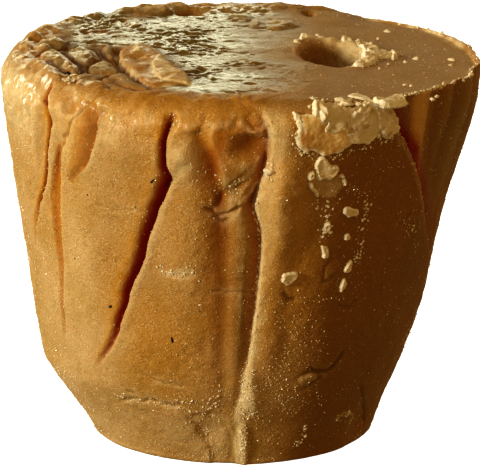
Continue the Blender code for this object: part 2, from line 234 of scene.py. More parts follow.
# Ground raised (+) or sunk (-) inside an outline on the wall, in full one edge width in:
# outline, edge width, mm, pale, rough, amber, dark
WALL_STEPS = (
    (((-39.5, 93.5), (-43.2, 89.2), (-45.5, 85.2), (-48.5, 80.8), (-49.0, 76.8), (-47.2, 73.8),
      (-44.8, 73.4), (-42.3, 75.2), (-39.3, 79.2), (-37.2, 82.8), (-35.6, 86.8), (-34.6, 90.5)), 2.6, 1.5,
     0.2, 0.1, 0.1, 0.0),
    (((2.4, 27), (1.4, 21.8), (-0.6, 15.8), (6.4, 15.2), (5.4, 22), (4.4, 27)), 2.2, 0.6, 0.9, 0.7, 0.0,
     0.0),
    (((-0.9, 12.4), (3.2, 12.0), (3.4, 0), (-0.4, 0)), 1.2, 0.4, 0.6, 0.8, 0.0, 0.0),
    (((-20.2, 14.5), (-16.5, 11), (-15.5, 8.5), (-12.5, 4.5), (-12.0, -2), (-1.6, -2), (-2.2, 12.5),
      (-8, 16.2), (-14, 15.4)), 1.8, -0.7, 0.15, 0.5, 0.0, 0.0),
    (((-22, 53.8), (-19.5, 54.2), (-15.2, 55.8), (-11.2, 55.4), (-11.0, 53.6), (-14.5, 51.6), (-19, 52.2)),
     0.9, -0.15, 0.6, 1.0, 0.0, 0.0),
    (((18, 24.8), (22, 26.5), (26.3, 25), (20.2, 21.2)), 0.5, 0.35, 0.1, 0.1, 0.0, 0.0),
    (((16.2, 78.5), (18.5, 79.5), (23, 78.5), (26, 77), (25.5, 74.5), (23.5, 73), (21, 72.8), (18.5, 74),
      (16.8, 76)), 0.8, 0.35, 0.3, 0.5, 0.0, 0.0),
)
# Soft tints of the wall: bearing, height, half width, half height, lean, mask, strength. The shade, deep and
# olive tints are mostly painted shade, the pale ones mostly painted highlight on lit parts, and the amber
# ones partly a painted glow.
TINTS = (
    (-32.5, 89.5, 5.0, 6.5, 0, "pale", 0.55), (-22.0, 92.5, 2.6, 3.0, 0, "pale", 0.5),
    (-13.5, 87.0, 3.4, 5.0, 0, "pale", 0.25), (-6.0, 84.0, 4.0, 12.0, -16, "deep", 0.35),
    (-13.0, 82.0, 4.6, 9.0, 0, "pale", 0.75), (-6.4, 87.4, 5.0, 9.0, -20, "amber_tone_and_glow", 1.0),
    (1.4, 89.0, 5.0, 6.5, 0, "deep", 0.25), (1.0, 88.0, 5.0, 6.5, 0, "shade", 0.8),
    (1.4, 89.0, 7.0, 9.0, 0, "amber_tone_and_glow", 0.9), (-50, 44, 9.0, 26.0, -6, "pale", 0.22),
    (-62.0, 86.0, 7.0, 12.0, 0, "pale", 0.35), (-13, 60, 4.5, 24.0, -3, "pale", 0.16),
    (-38, 34, 6.0, 10.0, -30, "pale", 0.4), (-47.5, 87, 4.4, 9.0, 0, "pale", 0.4),
    (48.5, 86.0, 4.6, 15.0, 0, "amber_tone_and_glow", 1.0), (16, 60, 9.0, 34.0, 0, "amber_tone_and_glow", 0.5),
    (14, 90, 8.0, 6.0, 0, "amber_tone_and_glow", 0.7), (-10.5, 6.0, 8.0, 9.0, 0, "pale", 0.3),
    (-22, 10, 9.0, 9.0, 0, "pale", 0.18), (-24, 32, 15.0, 20.0, 0, "amber_tone_and_glow", 0.55),
    (-20, 24, 16.0, 14.0, 0, "shade", 0.28), (-17, 48, 26.0, 62.0, 0, "shade", 0.26),
    (-12, 12, 30.0, 22.0, 0, "olive_tone_and_shade", 0.16), (-24, 26, 12.0, 16.0, 0, "olive_tone_and_shade", 0.12),
    (8.8, 88.5, 4.4, 7.0, 0, "pale", 0.8), (8.8, 90.0, 5.0, 6.0, 0, "amber_tone_and_glow", 0.6),
    (-60, 24, 26.0, 34.0, 0, "pale", 0.24), (-5.6, 68, 3.6, 18, 0, "deep", 0.18),
    (-5.6, 66, 3.8, 22, 0, "shade", 0.95), (-1.6, 78, 5.2, 9.0, -20, "shade", 0.8),
    (-2.4, 76, 4.2, 7.0, 0, "olive_tone_and_shade", 0.3), (-0.8, 46, 3.8, 44, 0, "shade", 0.85),
    (-76, 88, 12, 14, 0, "pale", 0.5), (68, 80, 16, 22, 0, "olive_tone_and_shade", 0.45),
    (60, 50, 12, 26, 0, "olive_tone_and_shade", 0.3), (48, 24, 26, 32, 0, "olive_tone_and_shade", 0.2),
    (0.5, 44, 3.2, 40, 0, "olive_tone_and_shade", 0.3), (-52.5, 66, 2.0, 16, -14, "amber_tone_and_glow", 1.0),
)
# Where the right of the wall steps back: bearing of its edge and depth of the step at each height
WALL_EDGE = (
    (97, 33.5), (94.8, 35.2), (92.5, 37.4), (90.2, 38.8), (87.8, 40.0), (84.5, 42.8), (81.2, 45.6),
    (77.8, 47.9), (74, 50.5), (70, 53.2), (64.8, 57.0), (60.5, 60.6), (54, 66), (46, 74), (36, 84),
)
WALL_EDGE_DEPTH = ((30, 0.0), (46, 0.15), (56, 0.5), (66, 1.3), (76, 2.2), (84, 2.8), (90, 3.0), (97, 3.0))
# Flutes behind that edge: bearing, half width, mm, height of its lower end
FLUTES = (
    (42.5, 3.2, -1.3, 60), (49.5, 3.4, 1.2, 50), (46.6, 0.7, 0.35, 70), (48.6, 0.6, -0.3, 74),
    (51.0, 0.7, 0.3, 66), (53.6, 0.8, -0.35, 70), (56.5, 1.6, -0.7, 72), (60.0, 2.0, 0.7, 66),
    (63.5, 1.4, -0.5, 76), (69.0, 3.8, 0.8, 58), (76.0, 2.4, -0.6, 70), (84.0, 3.4, 0.7, 60),
    (92.0, 2.6, -0.6, 66),
)

# Pillows of skin folded up on the top: x, y, half length, half width, turn, height
PILLOWS = (
    (-26.6, 31.5, 2.6, 6.0, 0, 1.4), (-53.4, 3.0, 2.6, 6.4, 0, 1.3), (-48.8, 23.5, 4.2, 6.8, -20, 1.8),
    (-52.6, 17.4, 3.0, 6.6, -8, 1.4), (-44.0, 32.5, 4.0, 6.6, -35, 1.4),
    (-38.8, 39.8, 4.0, 6.2, -42, 1.0), (-22.6, 48.0, 6.4, 6.4, 0, 1.9), (-16.4, 50.6, 4.0, 4.0, 0, 1.6),
    (-29.0, 46.0, 3.6, 4.6, 0, 1.1), (5.1, 31.0, 2.8, 5.4, 0, 1.3), (10.4, 31.0, 4.2, 6.6, 0, 1.5),
    (0.4, 38.0, 3.8, 5.2, 0, 1.2), (9.4, 51.0, 3.0, 4.0, 0, 1.2), (14.4, 51.0, 2.6, 3.4, 0, 1.0),
    (3.2, -11.0, 3.6, 4.6, 0, 0.8), (-8.0, 54.0, 3.2, 2.6, 0, 0.8), (-1.6, 54.6, 3.0, 2.4, 0, 0.7),
    (22.0, 52.0, 4.0, 2.8, -20, 0.9), (-52.8, -22.0, 2.8, 8.0, 14, 0.9),
    (-36.0, -38.5, 5.5, 4.5, 20, 0.8), (-46.0, -44.0, 4.0, 5.0, 30, 0.6),
)
# Folded lobes of skin: outline, edge width, height, olive tint
FOLDS = (
    (((-51.8, 1.0), (-50.8, 8.0), (-48.3, 12.0), (-45.8, 13.0), (-43.5, 9.0), (-42.8, 3.0), (-45.0, -1.5),
      (-48.5, -2.5), (-50.8, -2.0)), 3.2, 2.0, 0.6),
    (((-43.9, -6.0), (-41.8, -1.2), (-39.4, 1.0), (-36.6, -3.6), (-34.2, -10.5), (-34.7, -15.0),
      (-37.2, -20.0), (-39.8, -15.5), (-42.6, -9.5)), 3.2, 2.2, 0.75),
    (((-37.4, -21.0), (-35.4, -14.6), (-33.0, -12.2), (-30.9, -16.0), (-29.6, -21.4), (-28.0, -26.0),
      (-30.7, -27.2), (-33.0, -26.4), (-36.0, -26.4)), 2.4, 1.5, 0.6),
    (((-34.9, -3.2), (-33.9, 2.4), (-31.9, 2.6), (-30.3, -1.0), (-30.1, -10.2), (-31.5, -12.6),
      (-33.2, -9.2)), 2.4, 1.3, 0.6),
    (((-50.4, -8.0), (-48.7, -3.4), (-45.6, -3.4), (-43.0, -10.0), (-40.2, -17.0), (-38.4, -23.5),
      (-38.8, -27.4), (-41.9, -26.6), (-44.2, -21.6), (-47.6, -15.0)), 3.2, 1.9, 0.1),
    (((-34.0, -32.0), (-30.4, -27.8), (-28.0, -26.8), (-25.4, -32.0), (-22.9, -38.5), (-21.4, -43.2),
      (-25.2, -41.6), (-29.0, -37.5), (-32.8, -35.0)), 2.0, 1.0, 0.5),
)
# Hollows pressed in the top: x, y, half length, half width, turn, mm up
HOLLOWS = (
    (-51.3, 12.0, 2.0, 3.0, 0, -2.0), (-12.8, 46.0, 5.0, 4.6, 0, -2.0), (17.8, 45.0, 2.2, 4.0, 0, -1.4),
    (-9.4, -20.5, 1.6, 2.4, 20, -0.8), (2.4, -36.0, 2.0, 1.6, 0, -0.6),
    (-48.0, -34.0, 2.8, 6.4, 12, -1.6), (-41.9, -25.8, 1.1, 1.8, 0, -1.0),
    (-42.8, -1.0, 1.6, 3.4, 0, -1.0), (-36.0, 3.0, 4.0, 3.0, 0, -0.6), (-30.0, -34.0, 1.6, 6.0, 30, -0.6),
    (-42.5, 14.0, 5.0, 4.0, 0, -0.5), (-36.0, 22.0, 6.0, 5.0, 0, -0.4),
)
# The torn flap of skin: its outline, the crease beside it, and the flakes on it
FLAP = (
    (-30.6, -3.0), (-28.6, 1.6), (-25.0, 3.8), (-21.6, 2.6), (-19.6, -5.0), (-17.0, -13.4),
    (-14.6, -22.4), (-12.0, -30.0), (-10.8, -36.6), (-13.0, -39.0), (-18.1, -39.2), (-22.0, -41.0),
    (-24.4, -34.6), (-27.0, -25.0), (-29.2, -17.0), (-30.4, -9.0),
)
FLAP_CREASE = ((-31.4, -1.0), (-30.2, -14.0), (-28.4, -22.0), (-25.8, -31.0), (-21.4, -40.0), (-17.0, -43.0))
FLAP_FLAKES = (
    ((-21.6, -21.4), (-20.9, -12.6), (-19.6, -9.4), (-18.2, -14.8), (-15.9, -21.4), (-13.6, -28.0),
     (-11.6, -34.4), (-12.6, -37.6), (-15.2, -36.8), (-17.4, -36.0), (-19.6, -32.2), (-21.0, -26.8)),
    ((-26.3, -1.5), (-25.4, 2.1), (-23.8, 2.3), (-23.4, -2.5), (-24.5, -6.2), (-25.7, -5.0)),
)
# Ridges in the skin of the top
WET_RIDGE = ((-51.4, -13.5), (-49.0, -19.2), (-46.8, -25.8), (-44.8, -32.2), (-42.8, -39.5))
SKIN_RIDGE = ((-37.5, 11.0), (-32.6, 8.4), (-26.5, 5.4), (-21.2, 4.4), (-16.2, 0.8), (-12.0, -3.6), (-6, -5))
# Lines along the top where the wet skin lies most level: points, half width
GLOSS_BANDS = (
    (((-31, 10), (-22.5, 3.5), (-15, -6), (-6, -17), (-1, -24)), 4.5),
    (((-12, -40), (-2, -42)), 3.5),
    (((-23, 30), (-10, 30), (2, 26)), 4.0),
)
# Where the skin is wet
GLOSS_OUTLINE = (
    (-31, 8), (-30, 24), (-24, 42), (-12, 51), (6, 51), (20, 38), (24, 10), (20, -18), (19, -36),
    (11, -47.5), (-10, -47.5), (-17, -41), (-11, -30), (-16, -12), (-20, 3), (-27, 5.5),
)

# ---------------------------------------------------------------- curves and noise


def soft_step(low, high, value):
    """Smooth rise from 0 at low to 1 at high: 3t^2 - 2t^3 of the clipped share."""
    part = np.clip((value - low) / (high - low), 0.0, 1.0)
    return part * part * (3.0 - 2.0 * part)


def between(low, full, start, end, value):
    """1 between full and start, 0 below low and above end: a rising smooth step times a falling one."""
    return soft_step(low, full, value) * (1.0 - soft_step(start, end, value))


def bell(gap, half_width):
    """1 at no gap, falling on both sides as e to minus the square of gap over half width."""
    return np.exp(-((gap / half_width) ** 2))


def raise_mask(masks, key, strength):
    """Raise one mask to a strength wherever it is lower."""
    masks[key] = np.maximum(masks[key], strength)


def smooth_line(points, at):
    """Cubic curve through (x, y) points: Hermite pieces whose slopes come from the points' neighbours."""
    x, y = np.array(points, dtype=float).T
    order = np.argsort(x)
    x, y = x[order], y[order]
    slope = np.gradient(y, x)
    piece = np.clip(np.searchsorted(x, at) - 1, 0, len(x) - 2)
    gap = x[piece + 1] - x[piece]
    t = np.clip((at - x[piece]) / gap, 0.0, 1.0)
    keep = (1.0 + 2.0 * t) * (1.0 - t) ** 2
    rise = t * (1.0 - t) ** 2 * gap
    fall = t * t * (t - 1.0) * gap
    return keep * y[piece] + rise * slope[piece] + (1.0 - keep) * y[piece + 1] + fall * slope[piece + 1]


def hash_unit(cells, seed):
    """A fixed random number from 0 to 1 for each whole-numbered cell, by mixing its bits."""
    mixed = np.full(cells.shape[:-1], (seed * 2654435761) & 0xFFFFFFFF, dtype=np.uint64)
    for axis in range(cells.shape[-1]):
        whole = (cells[..., axis].astype(np.int64) & 0xFFFFFFFF).astype(np.uint64)
        mixed = mixed ^ (whole + np.uint64(0x9E3779B9 * (axis + 1)))
        mixed = (mixed * np.uint64(0x85EBCA6B)) & np.uint64(0xFFFFFFFF)
        mixed = mixed ^ (mixed >> np.uint64(15))
    mixed = (mixed * np.uint64(0xC2B2AE35)) & np.uint64(0xFFFFFFFF)
    mixed = mixed ^ (mixed >> np.uint64(13))
    return mixed.astype(float) / 4294967295.0


def noise(places, size, seed):
    """Smooth random field from -1 to 1: random numbers at the corners of its cells, mixed smoothly."""
    scaled = places / size
    cell = np.floor(scaled)
    part = scaled - cell
    part = part * part * part * (part * (part * 6.0 - 15.0) + 10.0)
    total = np.zeros(places.shape[:-1])
    axes = places.shape[-1]
    for corner in range(2**axes):
        step = np.array([(corner >> axis) & 1 for axis in range(axes)])
        weight = np.prod(np.where(step == 1, part, 1.0 - part), axis=-1)
        total += weight * hash_unit(cell + step, seed)
    return total * 2.0 - 1.0


def bumps(places, layers):
    """Sum of noise fields, one for each (height, size, seed number) layer."""
    return sum(height * noise(places, size, SEED + number) for height, size, number in layers)


def shake(places, size, seed):
    """A random sideways shift at each place: two noise fields as a vector."""
    return np.stack([noise(places, size, seed), noise(places, size, seed + 1)], axis=-1)


def fractal(places, size, seed, octaves=3, gain=0.5):
    """Sum of noise fields, each half the size and gain times the height of the one before."""
    total = np.zeros(places.shape[:-1])
    height = 1.0
    for octave in range(octaves):
        total += height * noise(places, size / 2**octave, seed + octave)
        height *= gain
    return total


def cobbles(places, size, seed):
    """Rounded lumps: each cell holds one random middle. Gives 1 - the squared distance to the nearest
    middle, and how much farther the second nearest is, which is 0 in the seams between lumps."""
    scaled = places / size
    cell = np.floor(scaled)
    nearest = np.full(places.shape[:-1], 9.0)
    second = nearest.copy()
    for step in ((x, y) for x in (-1, 0, 1) for y in (-1, 0, 1)):
        near = cell + step
        middle = near + 0.15 + 0.7 * np.stack([hash_unit(near, seed), hash_unit(near, seed + 1)], axis=-1)
        gap = np.linalg.norm(scaled - middle, axis=-1)
        second = np.minimum(second, np.maximum(nearest, gap))
        nearest = np.minimum(nearest, gap)
    return 1.0 - nearest**2, second - nearest


def line_gap(places, path):
    """Distance from each place to a bent line, and the share of the way along it of the nearest point."""
    best = np.full(places.shape[:-1], 1e9)
    along = np.zeros(places.shape[:-1])
    points = np.array(path, dtype=float)
    for number, (start, end) in enumerate(zip(points[:-1], points[1:])):
        run = end - start
        part = np.clip(((places - start) @ run) / (run @ run), 0.0, 1.0)
        gap = np.linalg.norm(places - start - part[..., None] * run, axis=-1)
        nearer = gap < best
        best = np.where(nearer, gap, best)
        along = np.where(nearer, (number + part) / (len(points) - 1), along)
    return best, along


def depth_inside(places, outline):
    """Distance to a closed outline, positive inside it and negative outside, by counting crossings."""
    corners = np.array(outline, dtype=float)
    gap, _ = line_gap(places, np.concatenate([corners, corners[:1]]))
    crossings = np.zeros(places.shape[:-1], dtype=int)
    x, y = places[..., 0], places[..., 1]
    for (x0, y0), (x1, y1) in zip(corners, np.roll(corners, -1, axis=0)):
        if y0 != y1:
            crossings += ((y0 > y) != (y1 > y)) & (x < (x1 - x0) * (y - y0) / (y1 - y0) + x0)
    return np.where(crossings % 2 == 1, gap, -gap)


def rounded(outline, times=2):
    """An outline with its corners cut: each edge keeps its middle half, and again."""
    corners = np.array(outline, dtype=float)
    for _ in range(times):
        after = np.roll(corners, -1, axis=0)
        corners = np.stack([0.75 * corners + 0.25 * after, 0.25 * corners + 0.75 * after],
                           axis=1).reshape(-1, 2)
    return corners


def oval_rise(x, y, half_x, half_y, turn, fullness):
    """Rise from 0 at an oval's edge to 1 at its middle: (1 - r^2) to a power, fuller for a lower one."""
    cosine, sine = math.cos(math.radians(turn)), math.sin(math.radians(turn))
    square = ((x * cosine + y * sine) / half_x) ** 2 + ((y * cosine - x * sine) / half_y) ** 2
    return np.clip(1.0 - square, 0.0, 1.0) ** fullness


# ---------------------------------------------------------------- form of the wall


def wall_reach(bearing, height):
    """Reach of the wall: the right or left outline mixed into the front one by the squared sine."""
    sine = np.sin(np.radians(bearing))
    side = np.where(sine > 0.0, smooth_line(RIGHT_REACH, height), smooth_line(LEFT_REACH, height))
    return side * sine**2 + smooth_line(FRONT_REACH, height) * (1.0 - sine**2)


def turn_gap(bearing, middle):
    """Signed difference of two bearings, from -180 to 180."""
    return (bearing - middle + 180.0) % 360.0 - 180.0


def unrolled(bearing, height):
    """Wall places laid out flat: millimetres round at the mean reach, and height."""
    return np.stack([np.radians(bearing) * MEAN_REACH, height], axis=-1)


def crease(bearing, height, reach, path, bed, sharp):
    """Groove along a path up the wall: share of its full depth, that depth, and the distance from its line.

    The share is 1 in a bed by the path. To the left it falls as a power of the
    distance left to the groove's width; to the right it falls along a steep
    smooth step, so that side stands like a lip.
    """
    table = np.array(path, dtype=float)
    height = height + 0.0 * bearing
    wobble = 0.35 * noise(np.stack([height, 0.0 * height], axis=-1), 7.0, int(abs(table[0, 1])))
    wobble += 0.15 * noise(np.stack([height, 0.0 * height], axis=-1), 2.6, int(abs(table[0, 1])) + 1)
    middle = smooth_line(table[:, (0, 1)], height)
    deep = np.clip(smooth_line(table[:, (0, 2)], height), 0.0, None)
    left = smooth_line(table[:, (0, 3)], height)
    right = smooth_line(table[:, (0, 4)], height)
    off = np.radians(turn_gap(bearing, middle)) * reach + wobble
    slope = np.clip(1.0 - (-off / left - bed) / (1.0 - bed), 0.0, 1.0) ** sharp
    share = np.where(off < 0.0, slope, 1.0 - soft_step(0.1, 1.0, off / right))
    return share, deep, off, left


def wall_relief(bearing, height):
    """Millimetres the wall stands out from its plain form, and its masks.

    Noise of falling sizes makes it uneven. Creases are cut in and given painted
    shade, with a painted amber glow beside them, the sharp ridge rises in a
    leaning facet with a painted highlight on its edge, swellings are ovals,
    thin lines are bells of the distance to a bent line, and steps a quarter
    sine of the depth inside an outline. Behind the right edge the wall drops
    back in flutes. The front rim and the skin at the left get bumps and dents
    of their own. The side away from the key light gets a brown painted shade.
    """
    reach = wall_reach(bearing, height)
    flat = unrolled(bearing, height)
    ring = place_on(bearing, reach, height)
    masks = {key: np.zeros(bearing.shape) for key in MASKS}
    out = 0.45 * noise(ring * [1, 1, 0.5], 17.0, SEED) + 0.22 * noise(ring * [1, 1, 0.6], 7.0, SEED + 1)
    out += bumps(ring, WALL_GRAIN)
    patchy = fractal(ring, 9.0, SEED + 5, 2)

    for name, path in CREASES.items():
        bed, sharp, dark, brown_shade, warm, lip_size = CREASE_LOOKS.get(name, PLAIN_CREASE)
        share, deep, off, left = crease(bearing, height, reach, path, bed, sharp)
        out -= share * deep
        # Painted shade in the crease: dark red on its bed and left slope, brown where it is deep. A painted
        # amber glow runs along and past its left edge, and a pale painted highlight lies on the lip at its
        # right.
        left_side = 1.0 - soft_step(-0.2, 0.5, off)
        crease_shade = soft_step(0.03, 0.55, share) * (0.35 + 0.65 * left_side)
        raise_mask(masks, "deep", dark * crease_shade * np.clip(deep / 2.0, 0.0, 1.0))
        raise_mask(masks, "shade", brown_shade * share * np.clip(deep / 1.4, 0.0, 1.0))
        glow = bell(off + 0.60 * left, 0.35 * left + 0.4) * np.clip(deep / 1.3, 0.0, 1.0)
        raise_mask(masks, "amber_tone_and_glow", warm * glow * left_side)
        glow_spill = bell(off + left, 0.9 * left) * np.clip(deep / 3.0, 0.0, 1.0)
        raise_mask(masks, "amber_tone_and_glow", 0.25 * warm * glow_spill)
        lip = bell(off - 1.7, 0.9) * np.clip(deep / 2.5, 0.0, 1.0)
        out += lip_size * lip
        raise_mask(masks, "pale", min(1.0, 1.2 * lip_size) * lip)

    # The sharp ridge and its scraped facet. The facet is pale partly as chalk and partly as painted light,
    # its edge gets a pale painted highlight, and the wall beside it a brown painted shade
    past = (np.radians(turn_gap(bearing, smooth_line(RIDGE_EDGE, height))) * reach
            + 0.3 * noise(flat, 1.6, SEED + 17))
    table = np.array(RIDGE_FACET, dtype=float)
    wide, strength = smooth_line(table[:, (0, 1)], height), smooth_line(table[:, (0, 2)], height)
    near = np.abs(bearing) < 60.0
    facet = (soft_step(-1.3, -0.7, past)
             * (1.0 - soft_step(0.15 * wide, 1.3 * wide, past + 0.5 * noise(flat, 3.0, SEED + 18))) * near)
    powder = 0.78 + 0.22 * soft_step(-0.4, 0.4, fractal(flat, 1.8, SEED + 19, 2))
    lean = 0.18 + 0.20 * between(*STEEP_RIDGE, height)
    out += lean * np.clip(past + 0.8, 0.0, wide) * (1.0 - soft_step(wide, wide + 9.0, past)) * near
    bright_edge = bell(past + 0.45, 0.55) * near * between(*BRIGHT_RIDGE, height)
    raise_mask(masks, "pale", np.maximum(facet * strength * powder, bright_edge))
    raise_mask(masks, "rough", 0.8 * facet * (1.0 - soft_step(40.0, 58.0, height)))
    ridge_side_shade = (0.45 * soft_step(0.5 * wide, 0.8 * wide + 2.4, past)
                    * (1.0 - 0.4 * soft_step(6.0, 12.0, past)) * near)
    ridge_side_shade = ridge_side_shade * between(*DARK_BESIDE, height)

    for middle, level, half_width, half_height, lean, size in SWELLS:
        across = np.radians(turn_gap(bearing, middle)) * reach
        out += size * oval_rise(across, height - level, half_width, half_height, lean, 2.0)

    jitter = 0.35 * shake(flat, 1.6, SEED + 7)
    for path, half_width, size in WALL_LINES:
        gap, along = line_gap(flat + jitter, unrolled(*np.array(path, dtype=float).T))
        taper = between(0.0, 0.12, 0.86, 1.0, along)
        line = bell(gap, half_width) * (0.25 + 0.75 * taper)
        out += size * line
        # Sunk lines get an olive painted shade with a pale crumbly edge beside them; raised ones are paler
        if size < 0.0:
            raise_mask(masks, "olive_tone_and_shade", line * min(0.9, -size * 0.85))
            raise_mask(masks, "pale", min(0.4, -0.5 * size) * bell(gap - half_width * 1.9, 0.6) * taper
                  * (bearing < 8.0))
        else:
            raise_mask(masks, "pale", 0.5 * line)

    for outline, edge, size, pale, rough, warm, dark in WALL_STEPS:
        depth = depth_inside(flat + jitter, unrolled(*rounded(outline, 1).T))
        inside = np.sin(0.5 * np.pi * np.clip(depth / edge, 0.0, 1.0))
        out += size * inside
        for key, strength in (("pale", pale), ("rough", rough), ("amber_tone_and_glow", warm), ("deep", dark)):
            raise_mask(masks, key, strength * inside)

    for middle, level, half_width, half_height, lean, key, strength in TINTS:
        across = np.radians(turn_gap(bearing, middle)) * reach
        patch = oval_rise(across, height - level, half_width, half_height, lean, 1.3)
        raise_mask(masks, key, strength * patch * (1.0 if key != "pale" else 0.7 + 0.3 * patchy))

    # The step back at the right, and the flutes behind it, with painted shade in the recess and a painted
    # glow on the flutes
    edge_turn = smooth_line(WALL_EDGE, height)
    past = np.radians(turn_gap(bearing, edge_turn)) * reach + 0.4 * noise(flat, 3.0, SEED + 9)
    right_side = (bearing > 10.0) & (bearing < 175.0)
    recess = np.clip(smooth_line(WALL_EDGE_DEPTH, height), 0.0, None)
    behind = between(-0.4, 0.7, 8.0, 34.0, past) * right_side
    out -= recess * behind
    edge_lip = bell(past + 0.8, 0.7) * soft_step(58.0, 68.0, height) * right_side
    out += 0.3 * edge_lip
    raise_mask(masks, "pale", 0.3 * edge_lip)
    raise_mask(masks, "deep", bell(past - 2.6, 3.0) * np.clip(recess / 2.6, 0.0, 1.0) * right_side)
    flute_glow = np.zeros(bearing.shape)
    for middle, half_width, size, lower_end in FLUTES:
        high = soft_step(lower_end, lower_end + 22.0, height) * soft_step(0.0, 2.0, past) * right_side
        wave = bell(np.radians(turn_gap(bearing, middle)) * reach, half_width)
        out += size * wave * high
        flute_glow = np.maximum(flute_glow, wave * high * np.clip(size / 1.2, 0.0, 1.0) ** 3)
    raise_mask(masks, "amber_tone_and_glow", 0.8 * flute_glow)
    raise_mask(masks, "pale", 0.25 * flute_glow)

    # Brown painted shade on the side away from the key light and on the wall beside the ridge, lifted where
    # the flutes glow; more painted shade in the valley's bed
    far_side_shade = (np.maximum(soft_step(6.0, 28.0, bearing), ridge_side_shade)
                * (1.0 - soft_step(96.0, 150.0, bearing)) * (1.0 - 0.95 * flute_glow))
    raise_mask(masks, "shade", far_side_shade)
    raise_mask(masks, "shade", 0.35 * between(*VALLEY_BED, bearing))
    fold_side = between(*FOLD_SIDE, bearing) * soft_step(22.0, 45.0, height)
    raise_mask(masks, "amber_tone_and_glow", 0.38 * fold_side)
    # The bulging, dented front rim, with painted shade in its dents and pale painted highlights on its bumps
    upper = soft_step(82.0, 93.0, height + 2.0 * patchy)
    front_rim = soft_step(84.0, 92.0, height) * between(*FRONT_RIM, bearing)
    out += front_rim * bumps(ring, FRONT_RIM_BUMPS)
    dent = front_rim * soft_step(0.10, 0.6, noise(ring, 4.2, SEED + 76))
    out -= 0.9 * dent
    raise_mask(masks, "shade", 0.4 * dent)
    raise_mask(masks, "pale", 0.4 * front_rim
          * soft_step(0.2, 0.8, noise(ring, 2.3, SEED + 11) + 0.4 * noise(ring, 0.9, SEED + 77)))
    raise_mask(masks, "amber_tone_and_glow", upper * between(*AMBER_RIM, bearing) * (0.38 + 0.25 * patchy))
    masks["gloss"] = (upper
                      * (0.12 * (1.0 - soft_step(-4.0, 10.0, bearing))
                         + 0.45 * (1.0 - soft_step(-56.0, -46.0, bearing)))
                      * soft_step(-150.0, -80.0, bearing))
    masks["gloss"] += 0.36
    raise_mask(masks, "gloss", 0.74 * front_rim * soft_step(-0.2, 0.4, noise(ring, 3.6, SEED + 65)))
    # The crumbly skin high on the left, pale partly as crumble and partly as painted sheen
    skin = soft_step(76.0, 90.0, height) * between(*LEFT_SKIN, bearing)
    out += skin * (0.18 * fractal(ring, 2.4, SEED + 14, 3, 0.8) + 0.14 * noise(ring, 0.9, SEED + 15) + 0.2)
    raise_mask(masks, "rough", skin)
    raise_mask(masks, "gloss", 0.52 * skin)
    raise_mask(masks, "pale", skin * (0.50 + 0.40 * soft_step(-0.3, 0.5, fractal(ring, 3.0, SEED + 16, 2))))
    pits = soft_step(0.45, 0.9, noise(ring, 2.1, SEED + 12)) * soft_step(-0.1, 0.5, patchy)
    out -= 0.16 * pits
    raise_mask(masks, "rough", 0.25 + 0.3 * soft_step(-0.2, 0.8, patchy))
    return out, masks


# ---------------------------------------------------------------- form of the top


